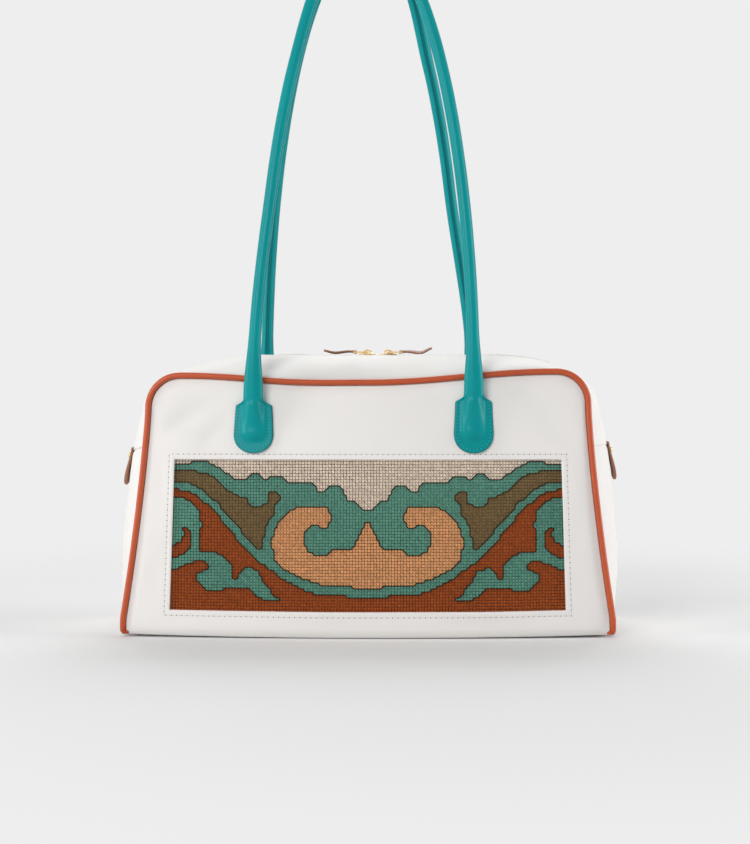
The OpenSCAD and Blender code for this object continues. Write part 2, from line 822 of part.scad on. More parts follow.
// Leather tab at each end of the zip, sewn in at the top and standing a little off the side
end_tab_l = 28;
end_tab_w = 15;
end_tab_top_w = 9;
end_tab_lap = 1;
end_tab_z = zip_end_z + end_tab_lap;
end_tab_out = 4.2;
tab_tilt = atan2(ridge_side([zip_end_z - end_tab_l], 0)[0][0] - ridge_side([zip_end_z], 0)[0][0], end_tab_l);
tab_profile_shares = [[0, 0], [0.5, 0.02], [0.85, -0.25], [1, -0.7], [0.9, -0.95], [0.5, -1],
    [0.12, -0.96], [0.04, -0.6], [0.02, -0.15]];

module zip_end_tab_right() {
    foot = ridge_side([zip_end_z], 0)[0][0];
    color("saddlebrown")
        translate([foot + seam_gap, 0, end_tab_z])
            rotate([0, -tab_tilt, 0])
                intersection() {
                    translate([0, end_tab_w / 2, 0])
                        rotate([90, 0, 0])
                            linear_extrude(end_tab_w)
                                polygon([for (p = tab_profile_shares) [p[0] * end_tab_out, p[1] * end_tab_l]]);
                    rotate([0, 90, 0])
                        linear_extrude(2 * end_tab_out)
                            polygon([[-overrun, -end_tab_top_w / 2], [-overrun, end_tab_top_w / 2],
                                [end_tab_l / 3, end_tab_w / 2], [end_tab_l - end_tab_w / 3, end_tab_w / 2],
                                [end_tab_l + overrun, end_tab_w / 6], [end_tab_l + overrun, -end_tab_w / 6],
                                [end_tab_l - end_tab_w / 3, -end_tab_w / 2], [end_tab_l / 3, -end_tab_w / 2]]);
                }
}

module zip_end_tab_left() {
    mirror([1, 0, 0])
        zip_end_tab_right();
}

// The pieces
front_panel();
back_panel();
bottom_panel();
base_board();
side_gusset_left();
side_gusset_right();
zip_strip_front();
zip_strip_back();
piping_front();
piping_back();
picture_canvas();
thread_teal();
thread_peach();
thread_sand();
thread_olive();
thread_rust();
lining_front();
lining_back();
lining_gusset();
lining_base();
handle_front();
handle_back();
zip_tape_front();
zip_tape_back();
zip_teeth_front();
zip_teeth_back();
zip_slider_left();
zip_slider_right();
pull_link_left();
pull_link_right();
pull_strip_left();
pull_strip_right();
zip_end_tab_left();
zip_end_tab_right();
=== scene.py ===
import bpy
import bmesh
import math
from mathutils import Matrix, Vector, noise
from mathutils.bvhtree import BVHTree


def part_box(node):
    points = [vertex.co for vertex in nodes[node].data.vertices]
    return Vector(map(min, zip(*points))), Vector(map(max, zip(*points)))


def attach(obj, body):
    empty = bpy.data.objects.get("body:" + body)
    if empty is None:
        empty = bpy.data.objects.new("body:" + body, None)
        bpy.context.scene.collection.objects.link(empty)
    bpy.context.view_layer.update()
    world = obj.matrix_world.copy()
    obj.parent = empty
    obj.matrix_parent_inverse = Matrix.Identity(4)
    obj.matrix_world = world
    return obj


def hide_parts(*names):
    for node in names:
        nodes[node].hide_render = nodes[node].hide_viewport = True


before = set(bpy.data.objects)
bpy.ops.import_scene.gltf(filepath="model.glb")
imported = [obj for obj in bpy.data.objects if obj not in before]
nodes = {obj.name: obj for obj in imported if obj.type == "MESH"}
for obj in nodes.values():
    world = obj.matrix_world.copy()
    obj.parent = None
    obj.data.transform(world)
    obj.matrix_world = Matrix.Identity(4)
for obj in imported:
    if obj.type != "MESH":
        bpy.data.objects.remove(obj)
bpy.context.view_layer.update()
scene = bpy.context.scene
scene.view_settings.view_transform = "Standard"
print("frame loaded with", len(nodes), "nodes")


# Shader maths: a wire wraps a socket, so that an expression adds its own nodes
class Wire:
    def __init__(self, finish, socket):
        self.finish = finish
        self.socket = socket

    def math(self, operation, first, second):
        return self.finish.node("ShaderNodeMath", {"operation": operation}, {0: first, 1: second})

    def __add__(self, other):
        return self.math("ADD", self, other)

    def __radd__(self, other):
        return self.math("ADD", other, self)

    def __mul__(self, other):
        return self.math("MULTIPLY", self, other)


class Finish:
    def __init__(self, name):
        self.material = bpy.data.materials.new(name)
        self.material.use_nodes = True
        self.tree = self.material.node_tree
        self.tree.nodes.clear()

    def node(self, kind, settings=None, sockets=None, out=0):
        made = self.tree.nodes.new(kind)
        for key, value in (settings or {}).items():
            setattr(made, key, value)
        for key, value in (sockets or {}).items():
            if isinstance(value, Wire):
                self.tree.links.new(value.socket, made.inputs[key])
            else:
                made.inputs[key].default_value = value
        return Wire(self, made.outputs[out]) if len(made.outputs) else None

    def place(self, name="Object"):
        return self.node("ShaderNodeTexCoord", out={"Object": 3, "UV": 2}[name])

    def scaled(self, vector, scale):
        return self.node("ShaderNodeMapping", sockets={"Vector": vector, "Scale": scale})

    def noise(self, vector, scale, detail=3.0, rough=0.5):
        return self.node("ShaderNodeTexNoise", sockets={
            "Vector": vector, "Scale": scale, "Detail": detail, "Roughness": rough})

    def cells(self, vector, scale, feature="F1"):
        return self.node("ShaderNodeTexVoronoi", {"feature": feature}, {"Vector": vector, "Scale": scale})

    def wave(self, vector, scale, direction="X", distort=0.0):
        return self.node("ShaderNodeTexWave", {"bands_direction": direction}, {
            "Vector": vector, "Scale": scale, "Distortion": distort}, out=1)

    def blend(self, share, first, second):
        return self.node("ShaderNodeMix", {"data_type": "RGBA"}, {0: share, 6: first, 7: second}, out=2)

    def bump(self, height, strength, distance):
        return self.node("ShaderNodeBump", sockets={
            "Strength": strength, "Distance": distance, "Height": height})

    def attribute(self, name):
        return self.node("ShaderNodeAttribute", {"attribute_name": name}, out=2)

    def surface(self, **sockets):
        named = {key.replace("_", " "): value for key, value in sockets.items()}
        shader = self.node("ShaderNodeBsdfPrincipled", sockets=named)
        self.node("ShaderNodeOutputMaterial", sockets={0: shader})
        return self.material


def colour(red, green, blue):  # screen values from 0 to 255, as linear light
    def linear(value):
        value = value / 255
        return value / 12.92 if value <= 0.04045 else ((value + 0.055) / 1.055) ** 2.4
    return (linear(red), linear(green), linear(blue), 1)


def shade(tone, share):
    return (*[value * share for value in tone[:3]], 1)


# Leather: pores and fine creases as bump, a little drift in tone
leatherLook = {"poreScale": 1500.0, "creaseScale": 420.0, "driftScale": 14.0, "poreDepth": 0.00008}


def leatherFinish(name, tone, rough, coat, drift=0.06, gloss=0.5, crease=0.3):
    made = Finish(name)
    place = made.place()
    pores = made.cells(place, leatherLook["poreScale"])
    fine = made.noise(place, leatherLook["creaseScale"], 4.0, 0.6)
    slow = made.noise(place, leatherLook["driftScale"], 2.0)
    tint = made.blend(slow, shade(tone, 1 - drift), shade(tone, 1 + drift))
    height = pores * (1 - crease) + fine * crease
    return made.surface(
        Base_Color=tint, Roughness=rough - 0.06 + slow * 0.12, Specular_IOR_Level=gloss, Coat_Weight=coat,
        Coat_Roughness=0.25, Normal=made.bump(height, 0.35, leatherLook["poreDepth"]))


whiteLeather = leatherFinish("white_leather", colour(233, 230, 227), 0.52, 0.0, 0.02, 0.25)
pipingLeather = leatherFinish("piping_leather", colour(186, 80, 42), 0.32, 0.0, 0.1, 0.33)
brownLeather = leatherFinish("brown_leather", colour(148, 102, 80), 0.45, 0.0, 0.15, 0.3)


def tealFinish():  # smooth and glossy, with faint crinkles
    made = Finish("teal_leather")
    tone = colour(0, 142, 145)
    place = made.place()
    crinkles = made.noise(made.scaled(place, (1.0, 1.0, 1.8)), 190.0, 4.0, 0.55)
    pores = made.cells(place, 1300.0)
    slow = made.noise(place, 34.0, 3.0)
    tint = made.blend(slow, shade(tone, 0.86), shade(tone, 1.1))
    height = crinkles * 0.7 + pores * 0.2
    return made.surface(
        Base_Color=tint, Roughness=0.24 + slow * 0.12, Specular_IOR_Level=0.13,
        Normal=made.bump(height, 0.3, 0.00012))


tealLeather = tealFinish()
tealEdge = leatherFinish("teal_edge", colour(0, 106, 110), 0.5, 0.0, 0.12, 0.12)


def brassFinish():
    made = Finish("brass")
    place = made.place()
    marks = made.noise(made.scaled(place, (1.0, 6.0, 1.0)), 900.0, 3.0)
    slow = made.noise(place, 140.0, 2.0)
    tint = made.blend(slow, colour(206, 170, 104), colour(236, 208, 150))
    return made.surface(
        Base_Color=tint, Metallic=1.0, Roughness=0.2 + marks * 0.16, Normal=made.bump(marks, 0.15, 0.00003))


brass = brassFinish()


def weaveFinish(name, tone, pitch, rough=0.8, depth=0.00012):  # plain weave on the sheet's UV
    made = Finish(name)
    place = made.place("UV")
    warp = made.wave(place, 1 / pitch / 20 * math.pi, "X", 0.6)
    weft = made.wave(place, 1 / pitch / 20 * math.pi, "Y", 0.6)
    slub = made.noise(place, 0.6 / pitch, 3.0)
    height = warp * weft
    # colour follows the weave's height: darker low points are painted shade, mixed with random slub tone
    tint = made.blend(height * 0.7 + slub * 0.3, shade(tone, 0.72), shade(tone, 1.12))
    return made.surface(Base_Color=tint, Roughness=rough, Normal=made.bump(height, 0.6, depth))


# the canvas is made very dark as painted shade for the gaps between the cross stitches
canvasShadeCloth = weaveFinish("canvas", colour(40, 31, 25), 0.0011)
tapeCloth = weaveFinish("zip_tape", colour(206, 188, 160), 0.0009)
liningCloth = weaveFinish("lining", colour(196, 174, 142), 0.0007, 0.7)


def threadFinish(name, tone, spread=0.22):  # each stitch has its own tone, and fibres along it
    made = Finish(name)
    tones = made.attribute("tone")
    place = made.place()
    fibres = made.noise(place, 2600.0, 2.0, 0.6)
    level = tones * 0.7 + fibres * 0.3
    tint = made.blend(level, shade(tone, 1 - spread), shade(tone, 1 + spread))
    return made.surface(
        Base_Color=tint, Roughness=0.8, Specular_IOR_Level=0.15, Normal=made.bump(fibres, 0.5, 0.0001))


threadTones = {
    "thread_teal": colour(106, 168, 148), "thread_peach": colour(238, 176, 122),
    "thread_sand": colour(242, 224, 206), "thread_olive": colour(138, 114, 76),
    "thread_rust": colour(176, 86, 34)}
threads = {name: threadFinish(name, tone) for name, tone in threadTones.items()}
darkThread = threadFinish("dark_thread", colour(62, 44, 34))
whiteThread = threadFinish("white_thread", colour(214, 210, 204), 0.06)
tealThread = threadFinish("teal_thread", colour(84, 190, 186), 0.15)
# dark discs at the needle holes of the white and teal sewing lines: painted shade standing in for the
# shadow inside each hole
needleHoleShade = leatherFinish("needle_hole_shade", colour(96, 88, 82), 0.9, 0.0)
tealHoleShade = leatherFinish("teal_hole_shade", colour(4, 70, 72), 0.9, 0.0)
boardFinish = leatherFinish("board", colour(168, 132, 92), 0.85, 0.0)
print("materials made")


# Small helpers for meshes
def smooth(low, high, value):
    share = min(1.0, max(0.0, (value - low) / (high - low)))
    return share * share * (3 - 2 * share)


def mixed(first, second, share):
    return first + (second - first) * share


# How the filled bag sits: the corners of the base lift a little, and the left shoulder slumps
settle = {
    "lift": 0.0015, "liftReach": 0.177, "liftTop": 0.07,
    "slump": 0.003, "slumpRise": (0.134, 0.174), "slumpFade": (0.2, 0.3),
    "seamReach": 0.075, "ridgeReach": (0.085, 0.13), "ridgeHalf": (0.012, 0.04),
    "sag": 0.0045, "sagRise": (0.06, 0.12), "sagFade": (0.155, 0.195), "sagReach": (0.13, 0.165),
    "sagHalf": 0.05}


def settled(point):
    low = 1 - smooth(0.0, settle["liftTop"], point.z)
    lift = settle["lift"] * (point.x / settle["liftReach"]) ** 2 * low
    bySeam = smooth(0.0, settle["seamReach"], -point.x)
    byRidge = smooth(*settle["ridgeReach"], -point.x)
    share = mixed(byRidge, bySeam, smooth(*settle["ridgeHalf"], abs(point.y)))
    height = smooth(*settle["slumpRise"], point.z) * (1 - smooth(*settle["slumpFade"], point.z))
    drop = settle["slump"] * share * height
    middle = max(0.0, 1 - (point.y / settle["sagHalf"]) ** 2)
    height = smooth(*settle["sagRise"], point.z) * (1 - smooth(*settle["sagFade"], point.z))
    drop += settle["sag"] * middle * height * smooth(*settle["sagReach"], -point.x)
    return Vector((point.x, point.y, point.z + lift - drop))


def addPiece(name, bm, finish, body, slot=None, stands=(), rounded=True):
    mesh = bpy.data.meshes.new(name)
    bm.normal_update()
    bm.to_mesh(mesh)
    bm.free()
    return addMesh(name, mesh, finish, body, slot, stands, rounded)


def addMesh(name, mesh, finish, body, slot=None, stands=(), rounded=True):
    for face in mesh.polygons:
        face.use_smooth = rounded
    if body == "bag":
        for vert in mesh.vertices:
            vert.co = settled(vert.co)
    piece = bpy.data.objects.new(name, mesh)
    scene.collection.objects.link(piece)
    mesh.materials.append(finish)
    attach(piece, body)
    if stands:
        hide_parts(*stands)
    return piece


def thicken(piece, thickness):  # the sheet is the outer face
    wall = piece.modifiers.new("wall", "SOLIDIFY")
    wall.thickness = thickness
    wall.offset = -1
    return piece


def gridSheet(across, along, placeOf, inside=None, closed=False, uvSize=None):
    bm = bmesh.new()
    uv = bm.loops.layers.uv.verify()
    bmesh.ops.create_grid(bm, x_segments=across, y_segments=along, size=0.5, calc_uvs=True)
    if uvSize:
        for face in bm.faces:
            for loop in face.loops:
                loop[uv].uv = (loop[uv].uv[0] * uvSize[0], loop[uv].uv[1] * uvSize[1])
    for vert in bm.verts:
        vert.co = placeOf(round((vert.co.x + 0.5) * across), round((vert.co.y + 0.5) * along))
    if closed:
        bmesh.ops.remove_doubles(bm, verts=bm.verts, dist=0.000001)
    bm.normal_update()
    if inside is not None:
        turnOut(bm, inside)
    return bm


def turnOut(bm, inside):  # faces look away from the point
    bm.normal_update()
    inside = Vector(inside)
    total = sum(face.normal.dot(face.calc_center_median() - inside) * face.calc_area() for face in bm.faces)
    if total < 0:
        bmesh.ops.reverse_faces(bm, faces=bm.faces)


def tube(stations, sides, square=1.0):  # each station is a centre and two half axes
    def placeOf(i, j):
        centre, first, second = stations[i]
        angle = 2 * math.pi * (j % sides) / sides
        cosine = math.cos(angle)
        sine = math.sin(angle)
        return (centre + first * math.copysign(abs(cosine) ** square, cosine)
                + second * math.copysign(abs(sine) ** square, sine))
    bm = gridSheet(len(stations) - 1, sides, placeOf, closed=True)
    rims = [edge for edge in bm.edges if edge.is_boundary]
    bmesh.ops.holes_fill(bm, edges=rims, sides=0)
    bmesh.ops.recalc_face_normals(bm, faces=bm.faces)
    return bm


def joined(parts):
    whole = bmesh.new()
    for part in parts:
        mesh = bpy.data.meshes.new("part")
        part.to_mesh(mesh)
        part.free()
        whole.from_mesh(mesh)
        bpy.data.meshes.remove(mesh)
    return whole


def repeated(name, shape, places, tones=None):  # one small shape, set down many times in one mesh
    shape.verts.ensure_lookup_table()
    points = [vert.co.copy() for vert in shape.verts]
    loops = [[vert.index for vert in face.verts] for face in shape.faces]
    shape.free()
    verts = []
    faces = []
    for matrix in places:
        first = len(verts)
        verts.extend(matrix @ point for point in points)
        faces.extend([first + index for index in loop] for loop in loops)
    mesh = bpy.data.meshes.new(name)
    mesh.from_pydata(verts, [], faces)
    if tones:
        layer = mesh.attributes.new("tone", "FLOAT", "POINT")
        layer.data.foreach_set("value", [tone for tone in tones for point in points])
    mesh.update()
    return mesh


def basis(centre, along, up):  # X along the stitch, Z out of the surface
    along = along.normalized()
    side = up.cross(along).normalized()
    up = along.cross(side)
    turn = Matrix((along, side, up)).transposed().to_4x4()
    return Matrix.Translation(centre) @ turn


def chance(*seeds):  # the same number from 0 to 1 on each run
    mixedSeeds = sum(seed * factor for seed, factor in zip(seeds, (12.9898, 78.233, 37.719)))
    value = math.sin(mixedSeeds) * 43758.5453
    return value - math.floor(value)


# The form of the body, from the same sizes as the solids, in metres
form = {
    "baseWidth": 0.354, "shoulderWidth": 0.319, "seamHeight": 0.192, "topDip": 0.008, "cornerRadius": 0.023,
    "ridgeHeight": 0.204, "baseDepth": 0.120, "topDepth": 0.094, "belly": 0.010, "sidePuff": 0.016,
    "topPuff": 0.0095, "puffHeight": 0.1, "puffPower": 2.5, "shoulderPower": 3.0, "flare": 1.35,
    "levelHalf": 0.089, "foldHeight": 0.007, "foldDepth": 0.004,
    "footHeight": 0.012, "edge": 0.0004, "piping": 0.00215, "panelInset": 0.0024, "slitHalf": 0.0065,
    "zipEnd": 0.137}
shoulderZ = form["seamHeight"] - form["cornerRadius"]
cornerX = form["shoulderWidth"] / 2 - form["cornerRadius"]
topRun = cornerX
cornerRun = math.pi / 2 * form["cornerRadius"]
sideRun = shoulderZ
halfRun = topRun + cornerRun + sideRun


def sideX(z):
    share = min(1.0, max(0.0, 1 - (z - form["footHeight"]) / (shoulderZ - form["footHeight"])))
    return mixed(form["shoulderWidth"], form["baseWidth"], share ** form["flare"]) / 2


def foldIn(z):
    return form["foldDepth"] * (1 - z / form["foldHeight"]) ** 2 if z < form["foldHeight"] else 0.0


def halfDepth(z):
    return mixed(form["baseDepth"], form["topDepth"], z / form["seamHeight"]) / 2 - foldIn(z)


def sideBulge(z):
    low = 1 - (1 - min(1.0, z / form["puffHeight"])) ** form["puffPower"]
    high = max(0.0, (z - form["puffHeight"]) / (shoulderZ - form["puffHeight"])) ** form["shoulderPower"]
    return form["sidePuff"] * low - (form["sidePuff"] - form["topPuff"]) * high


def bellyOut(x, z):
    return (form["belly"] * max(0.0, 1 - (x / sideX(z)) ** 2)
            * max(0.0, 1 - (z / (form["seamHeight"] - form["topDip"])) ** 3))


def frontY(x, z):
    return -halfDepth(z) - bellyOut(x, z)


def seamAt(run, inset=0.0):  # run is 0 at the top's middle and 1 at the foot
    length = run * halfRun
    if length < topRun:
        share = length / topRun
        dip = form["topDip"] * (1 - math.cos(math.pi * (1 - share))) / 2
        return cornerX * share, form["seamHeight"] - inset - dip
    if length < topRun + cornerRun:
        angle = math.pi / 2 * (1 - (length - topRun) / cornerRun)
        radius = form["cornerRadius"] - inset
        return cornerX + radius * math.cos(angle), shoulderZ + radius * math.sin(angle)
    z = max(form["edge"], shoulderZ * (1 - (length - topRun - cornerRun) / sideRun))
    return sideX(z) - inset, z


def ridgeAt(run, inset=0.0):
    length = run * halfRun
    wide = sideX(shoulderZ) + form["topPuff"] - form["levelHalf"]
    high = form["ridgeHeight"] - shoulderZ
    if length < topRun:
        return form["levelHalf"] * length / topRun, form["ridgeHeight"] - inset
    if length < topRun + cornerRun:
        angle = math.pi / 2 * (1 - (length - topRun) / cornerRun)
        return (form["levelHalf"] + (wide - inset) * math.cos(angle),
                shoulderZ + (high - inset) * math.sin(angle))
    z = max(form["edge"], shoulderZ * (1 - (length - topRun - cornerRun) / sideRun))
    return sideX(z) + sideBulge(z) - inset, z


def runAtHeight(z):  # on the side, below the corner
    return (topRun + cornerRun + (1 - z / shoulderZ) * sideRun) / halfRun


def gussetPoint(run, side, y, inset=0.0):
    seamX, seamZ = seamAt(run, inset)
    ridgeX, ridgeZ = ridgeAt(run, inset)
    share = (y / halfDepth(seamZ)) ** 2
    return Vector((side * mixed(ridgeX, seamX, share), y, mixed(ridgeZ, seamZ, share)))


# Soft dents in the white leather, in metres of depth
creases = [(-0.148, 0.150, -0.108, 0.174, 0.007, 0.0019), (0.143, 0.144, 0.108, 0.172, 0.008, 0.0017),
           (-0.03, 0.150, 0.04, 0.157, 0.012, 0.0010), (-0.164, 0.03, -0.150, 0.06, 0.008, 0.0010),
           (0.150, 0.06, 0.156, 0.10, 0.007, 0.0011), (-0.152, 0.09, -0.149, 0.135, 0.007, 0.0009),
           (0.02, 0.139, 0.09, 0.146, 0.008, 0.0007), (-0.12, 0.138, -0.10, 0.162, 0.006, 0.0008)]
dents = {"broad": 0.0019, "acrossScale": 16, "upScale": 20, "fine": 0.0002, "fineScale": 45}


def dentAt(x, z, seed=0.0):
    broad = Vector((x * dents["acrossScale"] + seed, z * dents["upScale"], seed))
    fine = Vector((x * dents["fineScale"] + seed, z * dents["fineScale"], seed + 5))
    depth = noise.noise(broad) * dents["broad"]
    depth += noise.noise(fine) * dents["fine"]
    for x0, z0, x1, z1, width, drop in creases:
        start = Vector((x0, z0))
        run = Vector((x1, z1)) - start
        share = min(1.0, max(0.0, (Vector((x, z)) - start).dot(run) / run.length_squared))
        gap = (Vector((x, z)) - start - run * share).length
        depth += drop * math.exp(-(gap / width) ** 2) * math.sin(math.pi * mixed(0.15, 0.85, share))
    return depth


# Front panel: a band of leather between the piping and the window
window = {"lowWidth": 0.287, "topWidth": 0.281, "lowZ": 0.0186, "height": 0.1102, "stitchOut": 0.0033,
          "groove": 0.00015, "grooveWidth": 0.0011, "round": 0.0016, "dip": 0.12, "dipStart": 0.955}
panel = {"wall": 0.0012, "dentFade": (0.004, 0.03), "footFade": (0.003, 0.016), "rimDip": 0.0010,
         "rimReach": 0.006, "rimFoot": (0.004, 0.012), "backSeed": 3.0}
sections = [(0, 44), (44, 104), (148, 44), (192, 104)]  # right, top, left and lower edge, in grid steps
panelSteps = 296
cornerRunShare = (topRun + cornerRun / 2) / halfRun


def windowHalf(z):
    return mixed(window["lowWidth"], window["topWidth"], (z - window["lowZ"]) / window["height"]) / 2


def windowGap(x, z):  # distance outside the window's edge
    middle = window["lowZ"] + window["height"] / 2
    return max(abs(x) - windowHalf(z), abs(z - middle) - window["height"] / 2)


def onWindow(step, grow=0.0):
    step = step % panelSteps
    low = window["lowZ"] - grow
    top = window["lowZ"] + window["height"] + grow
    for edge, (first, count) in enumerate(sections):
        if first <= step < first + count:
            share = (step - first) / count
            if edge == 0:
                z = mixed(low, top, share)
                return windowHalf(z) + grow, z
            if edge == 1:
                return (windowHalf(top) + grow) * (1 - 2 * share), top
            if edge == 2:
                z = mixed(top, low, share)
                return -windowHalf(z) - grow, z
            return (windowHalf(low) + grow) * (2 * share - 1), low


def onRim(step, inset):
    step = step % panelSteps
    for edge, (first, count) in enumerate(sections):
        if first <= step < first + count:
            share = (step - first) / count
            if edge == 0:
                return seamAt(mixed(1.0, cornerRunShare, share), inset)
            if edge == 1:
                x, z = seamAt(cornerRunShare * abs(1 - 2 * share), inset)
                return math.copysign(x, 1 - 2 * share), z
            if edge == 2:
                x, z = seamAt(mixed(cornerRunShare, 1.0, share), inset)
                return -x, z
            x, z = seamAt(1.0, inset)
            return x * (2 * share - 1), z


def leatherY(x, z, rimGap, edgeGap, seed=0.0):  # outer face of a sewn panel
    y = frontY(x, z)
    fade = smooth(*panel["dentFade"], rimGap) * smooth(*panel["footFade"], z)
    y += dentAt(x, z, seed) * fade
    y += panel["rimDip"] * (1 - smooth(0.0, panel["rimReach"], rimGap)) * smooth(*panel["rimFoot"], z)
    if edgeGap is not None:
        y += window["groove"] * math.exp(-((edgeGap - window["stitchOut"]) / window["grooveWidth"]) ** 2)
    return y


frontRows = [0.0, 0.02, 0.045, 0.08, 0.13, 0.2, 0.28, 0.37, 0.46, 0.55, 0.63, 0.7, 0.76, 0.81, 0.85, 0.88,
             0.905, 0.925, 0.943, 0.96, 0.975, 0.99]
frontTurns = [(0.0, 0.0002), (-0.0005, 0.0006), (-0.0007, 0.0012), (-0.0006, 0.0021)]  # grow, depth


def frontPlace(step, row):
    rimX, rimZ = onRim(step, form["panelInset"])
    if row < len(frontRows):
        edgeX, edgeZ = onWindow(step)
        x = mixed(rimX, edgeX, frontRows[row])
        z = mixed(rimZ, edgeZ, frontRows[row])
        rimGap = math.hypot(x - rimX, z - rimZ)
        y = leatherY(x, z, rimGap, windowGap(x, z))
        dip = window["round"] * window["dip"] * smooth(window["dipStart"], 1.0, frontRows[row])
        return Vector((x, y + dip, z))
    grow, depth = frontTurns[row - len(frontRows)]
    x, z = onWindow(step, grow)
    return Vector((x, leatherY(x, z, math.hypot(x - rimX, z - rimZ), 0.0) + depth, z))


bagMiddle = (0.0, 0.0, 0.09)
frontShell = gridSheet(panelSteps, len(frontRows) + len(frontTurns) - 1, frontPlace, bagMiddle, True)
frontPanel = addPiece("front_leather", frontShell, whiteLeather, "bag", "white_leather", ["front_panel"])
thicken(frontPanel, panel["wall"])

# Back panel: the same rim, closed by a grid in the middle
backCore = {"width": 0.20, "lowZ": 0.06, "height": 0.07, "across": 104, "up": 44, "rimGap": 0.05}
backRows = [0.0, 0.02, 0.045, 0.08, 0.13, 0.2, 0.28, 0.37, 0.46, 0.55, 0.64, 0.73, 0.82, 0.91, 1.0]


def backEdge(step):
    step = step % panelSteps
    for edge, (first, count) in enumerate(sections):
        if first <= step < first + count:
            share = (step - first) / count
            half = backCore["width"] / 2
            low = backCore["lowZ"]
            top = low + backCore["height"]
            return [(half, mixed(low, top, share)), (half * (1 - 2 * share), top),
                    (-half, mixed(top, low, share)), (half * (2 * share - 1), low)][edge]


def backPlace(step, row):
    rimX, rimZ = onRim(step, form["panelInset"])
    edgeX, edgeZ = backEdge(step)
    x = mixed(rimX, edgeX, backRows[row])
    z = mixed(rimZ, edgeZ, backRows[row])
    return Vector((x, -leatherY(x, z, math.hypot(x - rimX, z - rimZ), None, panel["backSeed"]), z))


backShell = gridSheet(panelSteps, len(backRows) - 1, backPlace, None, True)


def corePlace(i, j):
    x = backCore["width"] * (i / backCore["across"] - 0.5)
    z = backCore["lowZ"] + backCore["height"] * j / backCore["up"]
    return Vector((x, -leatherY(x, z, backCore["rimGap"], None, panel["backSeed"]), z))


coreShell = gridSheet(backCore["across"], backCore["up"], corePlace)
backShell = joined([backShell, coreShell])
bmesh.ops.remove_doubles(backShell, verts=backShell.verts, dist=0.00002)
bmesh.ops.recalc_face_normals(backShell, faces=backShell.faces)
turnOut(backShell, bagMiddle)
backPanel = addPiece("back_leather", backShell, whiteLeather, "bag", "white_leather", ["back_panel"])
thicken(backPanel, panel["wall"])
print("front and back leather made")


# Side gussets and the strips beside the zip, which share one domed form
gusset = {
    "across": 30, "along": 60, "stripAcross": 16, "stripAlong": 190, "lap": 0.006, "lapUnder": 0.0011,
    "lapStart": 0.002, "lapEnd": 0.010, "edgeIn": 0.0008, "edgeReach": 0.005, "sag": 0.0009,
    "sagReach": 0.012, "runScale": 14, "depthScale": 30, "seed": 3.0, "wall": 0.0010, "stripWall": 0.0009,
    "stripEnd": 0.0012,
    "stripEdge": 0.0004, "stripSpread": 1.3, "groove": 0.0003, "grooveWidth": 0.001, "sewOut": 0.0032}
endRun = runAtHeight(form["zipEnd"])


def gussetSoft(run, side, y, under=0.0):  # the seam edges pull in, and the leather sags between them
    seed = gusset["seed"]
    seamZ = seamAt(run)[1]
    depth = halfDepth(seamZ)
    edge = depth - abs(y) - form["panelInset"]
    inset = gusset["edgeIn"] * (1 - smooth(0.0, gusset["edgeReach"], edge))
    spot = Vector((run * gusset["runScale"] + seed, y * gusset["depthScale"], side * 2 + seed))
    sag = noise.noise(spot) * gusset["sag"] * smooth(0.0, gusset["sagReach"], edge)
    return gussetPoint(run, side, y, inset + sag + under)


def sidePiece(side, name, node):
    def placeOf(i, j):
        share = j / gusset["along"]
        run = mixed(endRun - gusset["lap"], 1.0, share)
        depth = halfDepth(seamAt(run)[1]) - form["panelInset"]
        covered = 1 - smooth(endRun - gusset["lapStart"], endRun + gusset["lapEnd"], run)
        return gussetSoft(run, side, depth * (2 * i / gusset["across"] - 1), gusset["lapUnder"] * covered)
    shell = gridSheet(gusset["across"], gusset["along"], placeOf, bagMiddle)
    return thicken(addPiece(name, shell, whiteLeather, "bag", "white_leather", [node]), gusset["wall"])


sidePiece(1, "right_side_leather", "side_gusset_right")
sidePiece(-1, "left_side_leather", "side_gusset_left")
stripTurns = [(0.0002, 0.0003), (0.0, 0.0010), (0.0008, 0.0017), (0.003, 0.0019)]  # from the slit, down


def zipStrip(back, name, node):
    rows = gusset["stripAcross"]

    def placeOf(i, j):
        along = 2 * i / gusset["stripAlong"] - 1
        run = abs(along) * (endRun - gusset["stripEnd"])
        side = 1 if along >= 0 else -1
        seamZ = seamAt(run)[1]
        depth = halfDepth(seamZ) - form["panelInset"]
        if j <= rows:
            share = j / rows
            near = 1 - (1 - share) ** gusset["stripSpread"]
            y = mixed(depth, form["slitHalf"] + gusset["stripEdge"], near)
            point = gussetSoft(run, side, back * y)
            off = (y - form["slitHalf"] - gusset["sewOut"]) / gusset["grooveWidth"]
            return point - Vector((0, 0, gusset["groove"] * math.exp(-off ** 2)))
        step, down = stripTurns[j - rows - 1]
        return gussetPoint(run, side, back * (form["slitHalf"] + step), down)
    shell = gridSheet(gusset["stripAlong"], rows + len(stripTurns), placeOf, bagMiddle)
    return thicken(addPiece(name, shell, whiteLeather, "bag", "white_leather", [node]), gusset["stripWall"])


zipStrip(-1, "zip_leather_front", "zip_strip_front")
zipStrip(1, "zip_leather_back", "zip_strip_back")

# Bottom: a flat piece with a rounded edge
bottom = {"across": 60, "along": 24, "thickness": 0.0010, "inset": 0.0026, "faceZ": 0.0002}


def bottomPlace(i, j):
    x = (2 * i / bottom["across"] - 1) * (sideX(0) - bottom["inset"])
    half = -frontY(x, 0.0) - bottom["inset"]
    y = half * (2 * j / bottom["along"] - 1)
    return Vector((x, y, bottom["faceZ"]))


bottomShell = gridSheet(bottom["across"], bottom["along"], bottomPlace, bagMiddle)
bottomSolid = ["bottom_panel"]
bottomPiece = addPiece("bottom_leather", bottomShell, whiteLeather, "bag", "white_leather", bottomSolid)
thicken(bottomPiece, bottom["thickness"])
print("gussets, zip strips and bottom made")


